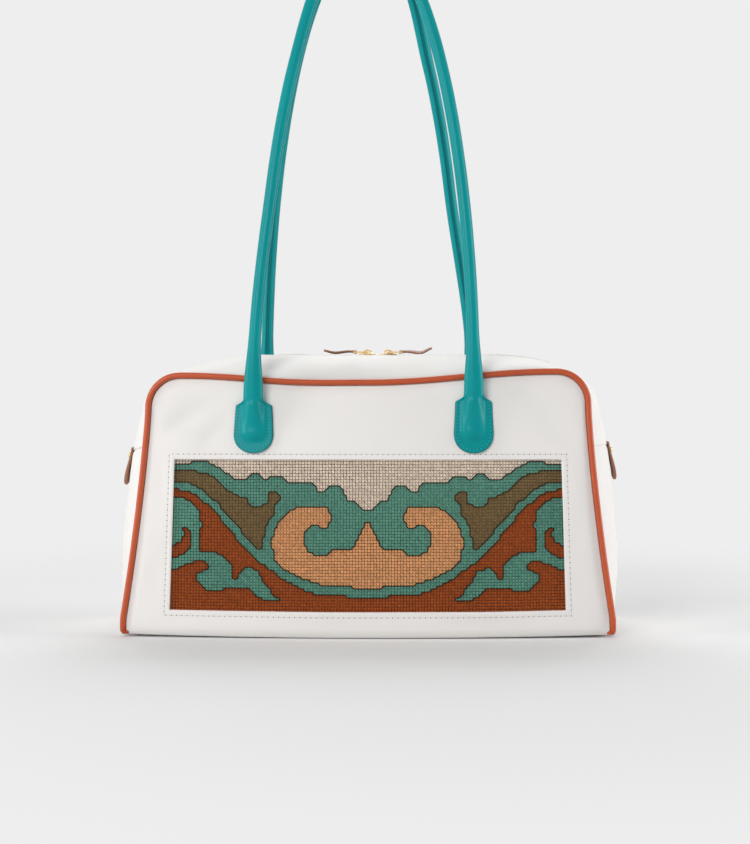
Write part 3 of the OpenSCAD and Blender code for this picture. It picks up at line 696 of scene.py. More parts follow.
# Piping: a corded tube in each seam, its ends tucked under at the feet
piping = {"stations": 230, "sides": 14, "tuckSteps": 5, "tuckIn": 0.007, "tuckBack": 0.004, "footZ": 0.0026,
          "uneven": 0.03, "unevenScale": 60}


def pipingPiece(back, name, node):
    path = []
    for i in range(piping["stations"] + 1):
        along = 2 * i / piping["stations"] - 1
        x, z = seamAt(abs(along))
        z = max(z, piping["footZ"])
        path.append(Vector((math.copysign(x, along), back * halfDepth(z), z)))
    inward = Vector((piping["tuckIn"], -back * piping["tuckBack"], 0))
    shares = [(k + 1) / piping["tuckSteps"] for k in range(piping["tuckSteps"])]
    leftEnd = [path[0] + inward * share for share in shares]
    inward.x = -inward.x
    rightEnd = [path[-1] + inward * share for share in shares]
    path = leftEnd[::-1] + path + rightEnd
    stations = []
    for i, point in enumerate(path):
        ahead = (path[min(len(path) - 1, i + 1)] - path[max(0, i - 1)]).normalized()
        out = ahead.cross(Vector((0, 1, 0))).normalized()
        lift = out.cross(ahead).normalized()
        radius = form["piping"] * (1 + piping["uneven"] * noise.noise(point * piping["unevenScale"]))
        stations.append((point, out * radius, lift * radius))
    return addPiece(name, tube(stations, piping["sides"]), pipingLeather, "bag", "piping_leather", [node])


pipingPiece(-1, "piping_cord_front", "piping_front")
pipingPiece(1, "piping_cord_back", "piping_back")
print("piping made")


# Handles: a roll of leather that opens into a sewn tab at each end
handle = {
    "foot": 0.0795, "neckZ": 0.176, "rise": 0.338, "radius": 0.0045, "neckHalf": 0.0072, "taper": 0.046,
    "tabZ": 0.133, "tabWidth": 0.0288, "tabRound": 2.2, "waist": 0.92, "shoulderZ": 0.170, "edge": 0.0022,
    "clear": 0.0003, "coreEnd": 0.1425, "coreFull": 0.151, "coreLow": 0.0036, "coreHalf": 0.0092,
    "coreEase": 0.0006, "coreNose": 0.35, "apexGap": 0.003, "lean": 1.5, "stand": 0.0005, "sides": 40,
    "arch": 150, "tipRings": 12, "tabRings": 34, "rim": 0.0007, "rimTop": 0.002, "neckLap": 0.0015,
    "neckEase": 0.0004, "neckGap": 0.0006, "neckStart": 0.0005, "tabSquare": 0.8, "wallSlope": 3.4,
    "wallPower": 0.6, "uneven": 0.015, "unevenScale": 45, "step": 0.004, "crowd": 0.125}
sway = {"rise": (0.19, 0.33), "fade": (0.42, 0.51), "fadeShare": 0.8, "middle": (-0.03, 0.03)}
cutEdge = {"turn": 0.17, "steps": 140, "end": 0.02, "swell": 0.0002, "half": 0.00055, "high": 0.0003,
           "sides": 8, "aside": 0.1}
tabTip = handle["tabWidth"] / 2
handleSway = {-1: (-0.0030, 0.0045, 0.0), 1: (-0.0021, 0.0, -0.0090)}  # front, back: all, left, right leg


def swayed(point, back):
    rise = smooth(*sway["rise"], point.z) * (1 - sway["fadeShare"] * smooth(*sway["fade"], point.z))
    hang, left, right = handleSway[back]
    point.x += hang + rise * mixed(left, right, smooth(*sway["middle"], point.x))
    return point


def archPoint(angle):
    neckZ = handle["neckZ"]
    neckY = (-halfDepth(neckZ) - form["piping"] - handle["radius"] - handle["stand"]
             - bellyOut(handle["foot"], neckZ) / 2)
    apexY = -handle["radius"] - handle["apexGap"] / 2
    sine = max(0.0, math.sin(angle))
    return Vector((handle["foot"] * math.cos(angle), mixed(neckY, apexY, sine ** handle["lean"]),
                   neckZ + handle["rise"] * sine))


def tabHalf(z):
    up = z - handle["tabZ"]
    power = handle["tabRound"]
    if up < tabTip:
        return tabTip * max(0.0, 1 - (1 - up / tabTip) ** power) ** (1 / power)
    waist = tabTip * handle["waist"]
    if z < handle["shoulderZ"]:
        return mixed(tabTip, waist, (up - tabTip) / (handle["shoulderZ"] - handle["tabZ"] - tabTip))
    neck = handle["neckZ"] + handle["neckLap"] - handle["shoulderZ"]
    share = min(1.0, (z - handle["shoulderZ"]) / neck)
    return mixed(waist, handle["neckHalf"] + handle["neckEase"], 1 - (1 - share) ** 2)


def coreAt(off, z):  # the roll's filling runs on under the tab's leather and ends in a round nose
    rise = smooth(handle["coreFull"], handle["neckZ"], z)
    half = mixed(handle["coreHalf"], handle["neckHalf"] + handle["coreEase"], rise)
    nose = min(1.0, max(0.0, (z - handle["coreEnd"]) / (handle["coreFull"] - handle["coreEnd"])))
    nose = math.sqrt(1 - (1 - nose) ** 2)
    high = mixed(handle["coreLow"], 2 * handle["radius"], rise) * nose
    half *= handle["coreNose"] + (1 - handle["coreNose"]) * nose
    return high * smooth(0.0, 1.0, max(0.0, 1 - (off / half) ** 2)) ** 0.8


def tabPoint(z, angle):
    cosine = math.cos(angle)
    off = tabHalf(z) * math.copysign(abs(cosine) ** handle["tabSquare"], cosine)
    x = handle["foot"] + off
    wall = min(1.0, max(0.0, math.sin(angle) * handle["wallSlope"])) ** handle["wallPower"]
    out = handle["edge"] * wall + (coreAt(off, z) if wall > 0 else 0.0)
    return Vector((x, frontY(x, z) - handle["clear"] - out, z))


def rollPoint(spot, angle, swell=0.0):
    place = archPoint(spot)
    after = archPoint(min(math.pi, spot + handle["step"]))
    ahead = (after - archPoint(max(0.0, spot - handle["step"]))).normalized()
    fore = Vector((0, -1, 0))
    fore = (fore - ahead * ahead.dot(fore)).normalized()
    out = ahead.cross(fore).normalized()
    taper = smooth(0.0, handle["taper"], place.z - handle["neckZ"])
    even = 1 + handle["uneven"] * noise.noise(place * handle["unevenScale"] + Vector((3, 0, 0)))
    half = mixed(handle["neckHalf"], handle["radius"], taper) * even + swell
    deep = handle["radius"] * even + swell
    return place + out * half * math.cos(angle) + fore * deep * math.sin(angle)


def rimFace(centre, hang):  # cut edge of a tab
    if centre.z > handle["shoulderZ"] + handle["rimTop"]:
        return False
    off = abs(centre.x - hang) - handle["foot"]
    low = handle["tabZ"] + tabTip - centre.z
    if low <= 0:
        return tabHalf(centre.z) - abs(off) < handle["rim"]
    power = handle["tabRound"]
    return tabTip - (abs(off) ** power + low ** power) ** (1 / power) < handle["rim"]


def handlePiece(back, name, node):
    tabZs = [handle["tabZ"] + tabTip * (1 - math.cos(math.pi / 2 * k / handle["tipRings"]))
             for k in range(1, handle["tipRings"] + 1)]
    neckLow = handle["neckZ"] - handle["neckGap"]
    tabZs += [mixed(handle["tabZ"] + tabTip, neckLow, k / handle["tabRings"])
              for k in range(1, handle["tabRings"] + 1)]
    spots = [math.pi * k / handle["arch"] for k in range(handle["arch"] + 1)]
    spots = [spot + handle["crowd"] * math.sin(2 * spot) for spot in spots]
    count = len(tabZs)
    total = 2 * count + len(spots)

    def footPoint(z, angle):
        rolled = rollPoint(0.0, angle)
        rolled.z = z
        share = smooth(handle["shoulderZ"] + handle["neckStart"], neckLow, z)
        return tabPoint(z, angle).lerp(rolled, share)

    def placeOf(i, j):
        angle = 2 * math.pi * (j % handle["sides"]) / handle["sides"]
        if i < count:
            point = footPoint(tabZs[i], angle)
        elif i < count + len(spots):
            point = rollPoint(spots[i - count], angle)
        else:
            point = footPoint(tabZs[total - 1 - i], angle)
            point.x = -point.x
        return swayed(Vector((point.x, -back * point.y, point.z)), back)
    shell = gridSheet(total - 1, handle["sides"], placeOf, closed=True)
    rims = [edge for edge in shell.edges if edge.is_boundary]
    bmesh.ops.holes_fill(shell, edges=rims, sides=0)
    bmesh.ops.recalc_face_normals(shell, faces=shell.faces)
    for face in shell.faces:
        face.material_index = 1 if rimFace(face.calc_center_median(), handleSway[back][0]) else 0
    piece = addPiece(name, shell, tealLeather, "bag", "teal_leather", [node])
    piece.data.materials.append(tealEdge)
    for turn in (-cutEdge["turn"], cutEdge["turn"]):  # the roll's two cut edges meet on its inner side
        stations = []
        for k in range(cutEdge["steps"] + 1):
            spot = mixed(cutEdge["end"], math.pi - cutEdge["end"], k / cutEdge["steps"])
            spot += handle["crowd"] * math.sin(2 * spot)
            point = rollPoint(spot, turn - math.pi / 2, cutEdge["swell"])
            side = rollPoint(spot, turn - math.pi / 2 + cutEdge["aside"], cutEdge["swell"]) - point
            out = point - archPoint(spot)
            flip = Vector((1, -back, 1))
            stations.append((swayed(point * flip, back), side.normalized() * flip * cutEdge["half"],
                             out.normalized() * flip * cutEdge["high"]))
        label = "low" if turn < 0 else "high"
        addPiece(name + "_edge_" + label, tube(stations, cutEdge["sides"]), tealEdge, "bag", "teal_leather")
    return piece


handlePiece(-1, "handle_roll_front", "handle_front")
handlePiece(1, "handle_roll_back", "handle_back")
print("handles made")


# Canvas behind the window, and the cross stitches on it
picture = {"pitch": 0.00217, "margin": 0.008, "threadY": 0.00245, "canvasY": 0.0031, "across": 90, "up": 40,
           "columns": 134, "rows": 51, "reach": 0.39, "stray": 9, "sink": 0.0026, "wall": 0.0008,
           "edge": 0.9}
strand = {"out": 0.0003, "over": 0.00022, "wander": 0.00018, "width": 0.00096, "height": 0.0007,
          "tones": 0.9, "pale": 0.5, "paleRise": (0.118, 0.136), "borderRun": 1.15,
          "borderWidth": 0.00085, "borderHeight": 0.0008}


def canvasPlace(i, j):
    z = mixed(window["lowZ"] - picture["margin"], window["lowZ"] + window["height"] + picture["margin"],
              j / picture["up"])
    x = (2 * i / picture["across"] - 1) * (windowHalf(z) + picture["margin"])
    return Vector((x, frontY(x, z) + picture["canvasY"], z))


canvasSize = (0.302, 0.124)
canvasShell = gridSheet(picture["across"], picture["up"], canvasPlace, bagMiddle, uvSize=canvasSize)
canvas = addPiece("picture_ground", canvasShell, canvasShadeCloth, "bag", "canvas", ["picture_canvas"])
thicken(canvas, picture["wall"])


def treeOf(node):
    mesh = nodes[node].data
    mesh.calc_loop_triangles()
    return BVHTree.FromPolygons([vert.co for vert in mesh.vertices],
                                [tuple(tri.vertices) for tri in mesh.loop_triangles])


fieldTrees = {name: treeOf(name) for name in threadTones}
pitch = picture["pitch"]


def cellCentre(column, row):
    x = (column - (picture["columns"] - 1) / 2) * pitch
    z = window["lowZ"] + window["height"] / 2 + (row - (picture["rows"] - 1) / 2) * pitch
    return x, z


scrollDiscs = [(0.1128, 0.0415, 0.0084), (0.1062, 0.0502, 0.0066), (0.0865, 0.0437, 0.0066)]  # x, z, radius


def inScroll(x, z):  # the teal scrolls end in round knobs
    return any(math.hypot(abs(x) - discX, z - discZ) < radius for discX, discZ, radius in scrollDiscs)


fieldOf = {}
for column in range(picture["columns"]):
    for row in range(picture["rows"]):
        x, z = cellCentre(column, row)
        if windowGap(x, z) > pitch * picture["edge"]:
            continue
        spot = Vector((x, frontY(x, z) + picture["threadY"], z + picture["sink"]))
        gaps = {name: tree.find_nearest(spot)[3] for name, tree in fieldTrees.items()}
        fieldOf[column, row] = "thread_teal" if inScroll(x, z) else min(gaps, key=gaps.get)


def around(cell):
    return [(cell[0] + 1, cell[1]), (cell[0] - 1, cell[1]), (cell[0], cell[1] + 1), (cell[0], cell[1] - 1)]


seen = set()
for start in sorted(fieldOf):  # stray patches of a few stitches take the colour round them
    if start in seen:
        continue
    patch = [start]
    beside = []
    seen.add(start)
    for cell in patch:
        for other in around(cell):
            if fieldOf.get(other) == fieldOf[start] and other not in seen:
                seen.add(other)
                patch.append(other)
            elif other in fieldOf and fieldOf[other] != fieldOf[start]:
                beside.append(fieldOf[other])
    if len(patch) < picture["stray"]:
        for cell in patch:
            fieldOf[cell] = max(sorted(set(beside)), key=beside.count)
kept = dict(fieldOf)
for cell, name in kept.items():  # lone stitches that stick out of a border go
    others = [kept[other] for other in around(cell) if other in kept]
    if len(others) == 4 and others.count(name) < 2:
        fieldOf[cell] = max((other for other in others if other != name), key=others.count)
print("stitches counted:", len(fieldOf))


def strandShape():  # a short strand that dips at both ends, from a stretched cube
    bm = bmesh.new()
    bmesh.ops.create_cube(bm, size=1.0)
    lengthwise = [edge for edge in bm.edges if abs(edge.verts[0].co.x - edge.verts[1].co.x) > 0.5]
    bmesh.ops.subdivide_edges(bm, edges=lengthwise, cuts=1)
    turn = Matrix.Rotation(math.pi / 4, 4, "X")
    bmesh.ops.transform(bm, matrix=turn, verts=bm.verts)
    for vert in bm.verts:
        tip = abs(vert.co.x) > 0.4
        thin = 0.55 if tip else 1.0
        vert.co.y *= thin
        vert.co.z = vert.co.z * thin - (0.55 if tip else 0.0)
    return bm


def frontFrame(x, z, depth):  # the face's point, its way across and its way out
    step = 0.001
    here = Vector((x, frontY(x, z) + depth, z))
    across = Vector((2 * step, frontY(x + step, z) - frontY(x - step, z), 0)).normalized()
    up = Vector((0, frontY(x, z + step) - frontY(x, z - step), 2 * step)).normalized()
    return here, across, up, across.cross(up).normalized()


def strandMatrix(centre, run, out, width, height):
    scale = Matrix.Diagonal((run.length, width, height, 1))
    return basis(centre, run, out) @ scale


strandPlaces = {name: [] for name in threadTones}
strandTones = {name: [] for name in threadTones}
for (column, row), name in sorted(fieldOf.items()):
    x, z = cellCentre(column, row)
    here, across, up, out = frontFrame(x, z, picture["threadY"] + strand["out"])
    reach = pitch * picture["reach"]
    for over, sign in ((0.0, 1), (strand["over"], -1)):
        aside = (chance(column, row, over + 1) - 0.5) * strand["wander"]
        run = (across + up * sign) * 2 * reach
        higher = (chance(row, column, over) - 0.5) * strand["wander"]
        centre = here + out * over + across * aside + up * higher
        strandPlaces[name].append(strandMatrix(centre, run, out, strand["width"], strand["height"]))
        level = 0.5 + (chance(column, row, sign) - 0.5) * strand["tones"]
        if name == "thread_teal":  # paler wool at the left end
            level += strand["pale"] * smooth(*strand["paleRise"], -x)
        strandTones[name].append(min(1.0, max(0.0, level)))
for name in threadTones:
    mesh = repeated("stitches_" + name, strandShape(), strandPlaces[name], strandTones[name])
    addMesh("stitches_" + name, mesh, threads[name], "bag", name, [name])

outlinePlaces = []
bends = {}
for (column, row), name in sorted(fieldOf.items()):  # colour borders, kept at the corners they join
    for stepX, stepZ in ((1, 0), (0, 1)):
        if fieldOf.get((column + stepX, row + stepZ), name) == name:
            continue
        middle = (column + stepX / 2, row + stepZ / 2)
        for end in (-0.5, 0.5):
            bends.setdefault((middle[0] + stepZ * end, middle[1] + stepX * end), []).append(middle)
for corner, middles in sorted(bends.items()):
    if len(middles) == 2:
        runs = [(middles[0], middles[1])]
    else:
        runs = [(middle, corner) for middle in middles]
    for first, second in runs:
        x, z = cellCentre((first[0] + second[0]) / 2, (first[1] + second[1]) / 2)
        here, across, up, out = frontFrame(x, z, picture["threadY"] - strand["out"])
        run = (across * (second[0] - first[0]) + up * (second[1] - first[1])) * pitch * strand["borderRun"]
        outlinePlaces.append(strandMatrix(here, run, out, strand["borderWidth"], strand["borderHeight"]))
outlineTones = [chance(k, 3, 5) for k in range(len(outlinePlaces))]
outlineMesh = repeated("outline_stitches", strandShape(), outlinePlaces, outlineTones)
addMesh("outline_stitches", outlineMesh, darkThread, "bag")
print("outline stitches:", len(outlinePlaces))


# Sewing: short stitches that sink into the leather, with a dark disc between each two as painted shade for
# the needle hole
sewing = {"pitch": 0.0039, "length": 0.0029, "width": 0.00062, "hole": 0.00042, "sink": 0.0001,
          "windowOut": 0.00005, "zipSteps": 240, "zipEnd": 0.004, "zipStep": 0.002, "zipSink": 0.0003,
          "zipMiddle": 0.08, "tabIn": 0.0024, "tabTop": 0.0012, "tabSides": (0.159, 0.149), "tabTurns": 16,
          "tabPitch": 0.0026, "tabSize": 0.8}


def stitchShape():
    bm = bmesh.new()
    bmesh.ops.create_uvsphere(bm, u_segments=6, v_segments=4, radius=0.5)
    bmesh.ops.rotate(bm, verts=bm.verts, matrix=Matrix.Rotation(math.pi / 2, 3, "Y"))
    for vert in bm.verts:
        vert.co.z -= 0.3 * (2 * vert.co.x) ** 2
    return bm


# a flat dark disc on the surface: painted shade in place of a needle hole
def holeShadeShape():
    bm = bmesh.new()
    bmesh.ops.create_uvsphere(bm, u_segments=8, v_segments=4, radius=1.0)
    bmesh.ops.scale(bm, verts=bm.verts, vec=(1, 1, 0.35))
    return bm


def sewLine(points, outs, pitchGoal):  # places along a line of points, evenly spaced
    lengths = [0.0]
    for first, second in zip(points, points[1:]):
        lengths.append(lengths[-1] + (second - first).length)
    count = max(1, round(lengths[-1] / pitchGoal))
    pace = lengths[-1] / count
    found = []
    at = 0
    for k in range(2 * count + 1):
        goal = pace * k / 2
        while at < len(points) - 2 and lengths[at + 1] < goal:
            at += 1
        span = lengths[at + 1] - lengths[at]
        share = min(1.0, max(0.0, (goal - lengths[at]) / span)) if span > 0 else 0.0
        found.append((points[at].lerp(points[at + 1], share), points[at + 1] - points[at],
                      outs[at].lerp(outs[at + 1], share).normalized(), k % 2))
    return found


def sew(name, lines, threadLook, holeShadeLook, body, pitchGoal, size=1.0):
    threadPlaces = []
    holeShadePlaces = []
    for points, outs in lines:
        for centre, run, out, middle in sewLine(points, outs, pitchGoal):
            if middle:
                scale = Matrix.Diagonal((sewing["length"] * size * pitchGoal / sewing["pitch"],
                                         sewing["width"] * size, sewing["width"] * size, 1))
                threadPlaces.append(basis(centre - out * sewing["sink"], run, out) @ scale)
            else:
                holeShadePlaces.append(basis(centre, run, out) @ Matrix.Scale(sewing["hole"] * size, 4))
    tones = [chance(k, 9, 2) for k in range(len(threadPlaces))]
    stitches = addMesh(name, repeated(name, stitchShape(), threadPlaces, tones), threadLook, body)
    addMesh(name + "_hole_shades", repeated(name + "_hole_shades", holeShadeShape(), holeShadePlaces), holeShadeLook, body)
    return stitches


framePoints = []
frameOuts = []
for step in list(range(0, panelSteps, 2)) + [0]:
    x, z = onWindow(step, window["stitchOut"])
    rimX, rimZ = onRim(step, form["panelInset"])
    rimGap = math.hypot(x - rimX, z - rimZ)
    y = leatherY(x, z, rimGap, window["stitchOut"]) - sewing["windowOut"]
    framePoints.append(Vector((x, y, z)))
    frameOuts.append(frontFrame(x, z, 0.0)[3])
sew("window_stitching", [(framePoints, frameOuts)], whiteThread, needleHoleShade, "bag", sewing["pitch"])

zipLines = []
for back in (-1, 1):
    points = []
    outs = []
    for k in range(sewing["zipSteps"] + 1):
        along = 2 * k / sewing["zipSteps"] - 1
        run = abs(along) * (endRun - sewing["zipEnd"])
        side = 1 if along >= 0 else -1
        y = back * (form["slitHalf"] + gusset["sewOut"])
        here = gussetSoft(run, side, y)
        after = gussetSoft(min(endRun, run + sewing["zipStep"]), side, y)
        ahead = after - gussetSoft(max(0.0, run - sewing["zipStep"]), side, y)
        ahead = ahead * side if ahead.length > 0 else Vector((1, 0, 0))
        if abs(ahead.x) < 1e-7 and abs(ahead.z) < 1e-7:
            ahead = Vector((1, 0, 0))
        out = Vector((-ahead.z, 0, ahead.x))
        if out.dot(here - Vector((0, 0, sewing["zipMiddle"]))) < 0:
            out = -out
        out.normalize()
        points.append(here - out * sewing["zipSink"])
        outs.append(out)
    zipLines.append((points, outs))
sew("zip_stitching", zipLines, whiteThread, needleHoleShade, "bag", sewing["pitch"])

tabLines = []
for back in (-1, 1):
    for side in (-1, 1):
        points = []
        outs = []
        tip = tabTip - sewing["tabIn"]
        shoulder = tabTip * handle["waist"] - sewing["tabIn"]
        topZ = handle["shoulderZ"] - sewing["tabTop"]
        midZ, lowZ = sewing["tabSides"]
        outline = [(shoulder, topZ), (mixed(tip, shoulder, 0.5), midZ), (tip, lowZ)]
        for k in range(sewing["tabTurns"] + 1):
            angle = -math.pi * k / sewing["tabTurns"]
            outline.append((tip * math.cos(angle), handle["tabZ"] + tabTip + tip * math.sin(angle)))
        outline += [(-tip, lowZ), (-mixed(tip, shoulder, 0.5), midZ), (-shoulder, topZ)]
        for off, z in outline:
            x = side * handle["foot"] + off
            here, across, up, out = frontFrame(x, z, -handle["clear"] - handle["edge"])
            here.y -= coreAt(off, z)
            points.append(Vector((here.x + handleSway[back][0], -back * here.y, here.z)))
            outs.append(Vector((out.x, -back * out.y, out.z)))
        tabLines.append((points, outs))
sew("tab_stitching", tabLines, tealThread, tealHoleShade, "bag", sewing["tabPitch"], sewing["tabSize"])
print("sewing made")


# Zip tapes and lining, cloth sheets sewn under the leather
tape = {"inner": 0.00295, "outer": 0.014, "drop": 0.00225, "steps": 170, "rows": 6, "end": 0.002,
        "lengths": 100, "measureY": 0.008, "wall": 0.0006}
lining = {"wall": 0.0005, "drop": 0.0033, "across": 60, "up": 40, "lowZ": 0.0062, "topZ": 0.178,
          "sideIn": 0.0056, "panelSize": (0.346, 0.176), "panelArea": 0.0565, "steps": 150, "rows": 10,
          "slit": 0.010, "reach": 0.982, "seamRoom": 0.0036, "lengths": 60, "stripSize": (0.69, 0.045),
          "gussetSize": (0.70, 0.11), "baseAcross": 50, "baseUp": 20, "baseHalf": 0.1715, "baseIn": 0.006,
          "baseZ": 0.0056, "baseSize": (0.343, 0.122), "baseArea": 0.0405}


def tapePiece(back, name, node):
    steps = tape["steps"]

    def placeOf(i, j):
        along = 2 * i / steps - 1
        side = 1 if along >= 0 else -1
        y = back * mixed(tape["inner"], tape["outer"], j / tape["rows"])
        return gussetPoint(abs(along) * (endRun - tape["end"]), side, y, tape["drop"])
    marks = [gussetPoint(endRun * k / tape["lengths"], 1, tape["measureY"], tape["drop"])
             for k in range(tape["lengths"] + 1)]
    length = sum((after - here).length for here, after in zip(marks, marks[1:])) * 2
    size = (length, tape["outer"] - tape["inner"])
    shell = gridSheet(steps, tape["rows"], placeOf, bagMiddle, uvSize=size)
    piece = thicken(addPiece(name, shell, tapeCloth, "bag", "zip_tape", [node]), tape["wall"])
    return piece


tapePiece(-1, "tape_front", "zip_tape_front")
tapePiece(1, "tape_back", "zip_tape_back")


def liningPanel(back, drop, name, node):
    def placeOf(i, j):
        z = mixed(lining["lowZ"], lining["topZ"], j / lining["up"])
        half = sideX(z) - lining["sideIn"]
        if z > shoulderZ:
            radius = form["cornerRadius"] - lining["sideIn"]
            half = cornerX + math.sqrt(max(0.0, radius ** 2 - (z - shoulderZ) ** 2))
        x = (2 * i / lining["across"] - 1) * half
        return Vector((x, back * (-frontY(x, z) - drop), z))
    size = lining["panelSize"]
    shell = gridSheet(lining["across"], lining["up"], placeOf, bagMiddle, uvSize=size)
    piece = thicken(addPiece(name, shell, liningCloth, "bag", "lining", [node]), lining["wall"])
    return piece


liningPanel(-1, 0.0047, "lining_cloth_front", "lining_front")
liningPanel(1, 0.0032, "lining_cloth_back", "lining_back")


def liningGusset():
    steps = lining["steps"]
    slit = lining["slit"]
    reach = lining["reach"]  # share of the run that is lined
    drop = lining["drop"]

    def cutArea():  # flat area of the cut, its width times its length in short lengths
        count = lining["lengths"]
        total = 0.0
        for k in range(count):
            low = reach * k / count
            high = reach * (k + 1) / count
            width = halfDepth(seamAt((low + high) / 2)[1]) - lining["seamRoom"] - slit
            middle = slit + width / 2
            total += width * (gussetPoint(high, 1, middle, drop) - gussetPoint(low, 1, middle, drop)).length
        return 4 * total  # front and back, left and right

    def half(back):
        def placeOf(i, j):
            along = 2 * i / steps - 1
            run = min(abs(along), reach)
            side = 1 if along >= 0 else -1
            depth = halfDepth(seamAt(run)[1]) - lining["seamRoom"]
            return gussetPoint(run, side, back * mixed(slit, depth, j / lining["rows"]), drop)
        return gridSheet(steps, lining["rows"], placeOf, bagMiddle, uvSize=lining["stripSize"])
    shell = joined([half(-1), half(1)])
    turnOut(shell, bagMiddle)
    piece = addPiece("lining_cloth_gusset", shell, liningCloth, "bag", "lining", ["lining_gusset"])
    thicken(piece, lining["wall"])
    return (piece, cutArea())[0]


liningGusset()


def liningBase():
    def placeOf(i, j):
        x = (2 * i / lining["baseAcross"] - 1) * lining["baseHalf"]
        half = -frontY(x, 0.0) - lining["baseIn"]
        return Vector((x, half * (2 * j / lining["baseUp"] - 1), lining["baseZ"]))
    size = lining["baseSize"]
    shell = gridSheet(lining["baseAcross"], lining["baseUp"], placeOf, (0, 0, 0), uvSize=size)
    piece = addPiece("lining_cloth_base", shell, liningCloth, "bag", "lining", ["lining_base"])
    thicken(piece, lining["wall"])
    return piece


liningBase()
print("cloth sheets made")


# Zip teeth: small rounded blocks in two rows, along the middle line of the tapes
teeth = {"pitch": 0.0032, "length": 0.0013, "height": 0.0026, "reach": 0.0028, "lap": 0.0009,
         "drop": 0.00255, "steps": 400, "end": 0.002, "round": 0.18}


def toothShape():
    bm = bmesh.new()
    bmesh.ops.create_cube(bm, size=1.0)
    bmesh.ops.bevel(bm, geom=bm.edges[:], offset=teeth["round"], segments=1, profile=0.5, affect="EDGES",
                    material=-1)
    return bm


def teethRow(back, first, name, node):
    line = []
    for k in range(teeth["steps"] + 1):
        along = 2 * k / teeth["steps"] - 1
        x, z = ridgeAt(abs(along) * (endRun - teeth["end"]), teeth["drop"])
        line.append(Vector((math.copysign(x, along), 0, z)))
    places = []
    wide = teeth["reach"] + teeth["lap"]
    size = Matrix.Diagonal((teeth["length"], wide, teeth["height"], 1))
    goal = first
    gone = 0.0
    for here, after in zip(line, line[1:]):
        span = (after - here).length
        while goal < gone + span:
            centre = here.lerp(after, (goal - gone) / span)
            centre.y = back * (teeth["reach"] - wide / 2)
            run = after - here
            places.append(basis(centre, run, Vector((-run.z, 0, run.x))) @ size)
            goal += teeth["pitch"]
        gone += span
    return addMesh(name, repeated(name, toothShape(), places), brass, "bag", "brass", [node], False)


teethRow(-1, teeth["pitch"], "teeth_front", "zip_teeth_front")
teethRow(1, teeth["pitch"] * 1.5, "teeth_back", "zip_teeth_back")

# Sliders: two domed plates with flanges, and an arched bridge that holds the pull
slider = {"half": 0.0045, "nose": 0.0035, "plate": 0.0015, "eye": 0.0022, "wire": 0.0011,
          "bridgeHalf": 0.0011, "bridgeReach": 0.0030, "bridgeSides": 12, "dome": 0.0005, "flange": 0.0006,
          "flangeFoot": 0.0029, "lipTop": 0.0021, "lipFoot": 0.0007, "flangeSteps": 8, "flangeSides": 10,
          "flangeEnd": 0.6, "stations": 18, "sides": 20}


def sliderPiece(side, name, node, body):
    low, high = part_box(node)
    middle = (low.x + high.x) / 2
    length = high.x - low.x
    plateTop = high.z - slider["eye"] - slider["wire"]
    parts = []
    for z, dome in ((plateTop - slider["plate"] / 2, slider["dome"]), (low.z + slider["plate"] / 2, 0.0)):
        stations = []
        for k in range(slider["stations"] + 1):
            share = k / slider["stations"]
            end = math.sqrt(max(0.12, 1 - max(0.0, (abs(2 * share - 1) - 0.72) / 0.29) ** 2))
            half = mixed(slider["half"], slider["nose"], smooth(0.35, 1.0, share)) * end
            thick = slider["plate"] / 2 * mixed(0.55, 1.0, end)
            x = middle + side * length * (share - 0.5)
            centre = Vector((x, 0, z + dome * math.sin(math.pi * share)))
            stations.append((centre, Vector((0, half, 0)), Vector((0, 0, thick))))
        parts.append(tube(stations, slider["sides"], 0.55))
    stations = []
    for k in range(slider["stations"] + 1):
        angle = math.pi * k / slider["stations"]
        out = Vector((math.cos(angle), 0, math.sin(angle)))
        rise = (slider["eye"] + slider["wire"]) * max(0.0, math.sin(angle)) ** 0.7
        x = middle + slider["bridgeReach"] * math.cos(angle)
        centre = Vector((x, 0, plateTop - slider["wire"] / 2 + rise))
        half = slider["bridgeHalf"] * mixed(1.35, 0.9, math.sin(angle))
        stations.append((centre, Vector((0, half, 0)), out * slider["wire"] / 2))
    parts.append(tube(stations, slider["bridgeSides"], 0.7))
    flanges = [(plateTop - slider["plate"] / 2, plateTop - slider["flangeFoot"]),
               (low.z + slider["lipTop"], low.z + slider["lipFoot"])]
    for turn in (-1, 1):
        reach = slider["half"] - slider["flange"]
        for top, foot in flanges:
            stations = []
            for k in range(slider["flangeSteps"] + 1):
                x = middle - side * length * mixed(0.02, 0.46, k / slider["flangeSteps"])
                narrow = slider["flangeEnd"] if k in (0, slider["flangeSteps"]) else 1.0
                stations.append((Vector((x, turn * reach, (top + foot) / 2)),
                                 Vector((0, slider["flange"] * narrow, 0)),
                                 Vector((0, 0, (top - foot) / 2 * narrow))))
            parts.append(tube(stations, slider["flangeSides"], 0.6))
    return addPiece(name, joined(parts), brass, body, "brass", [node])


sliderPiece(1, "slider_metal_right", "zip_slider_right", "slider_right")
sliderPiece(-1, "slider_metal_left", "zip_slider_left", "slider_left")


# Links keep their solids, with edges rounded by modifiers
link = {"round": 0.0003, "weld": 0.00001, "angle": 30}


def roundEdges(node, width, finish):
    piece = nodes[node]
    piece.data.materials.clear()
    piece.data.materials.append(finish)
    weld = piece.modifiers.new("weld", "WELD")
    weld.merge_threshold = link["weld"]
    soft = piece.modifiers.new("edges", "BEVEL")
    soft.width = width
    soft.segments = 2
    soft.limit_method = "ANGLE"
    soft.angle_limit = math.radians(link["angle"])


for end in ("left", "right"):
    roundEdges("pull_link_" + end, link["round"], brass)
nodes["base_board"].data.materials.clear()
nodes["base_board"].data.materials.append(boardFinish)


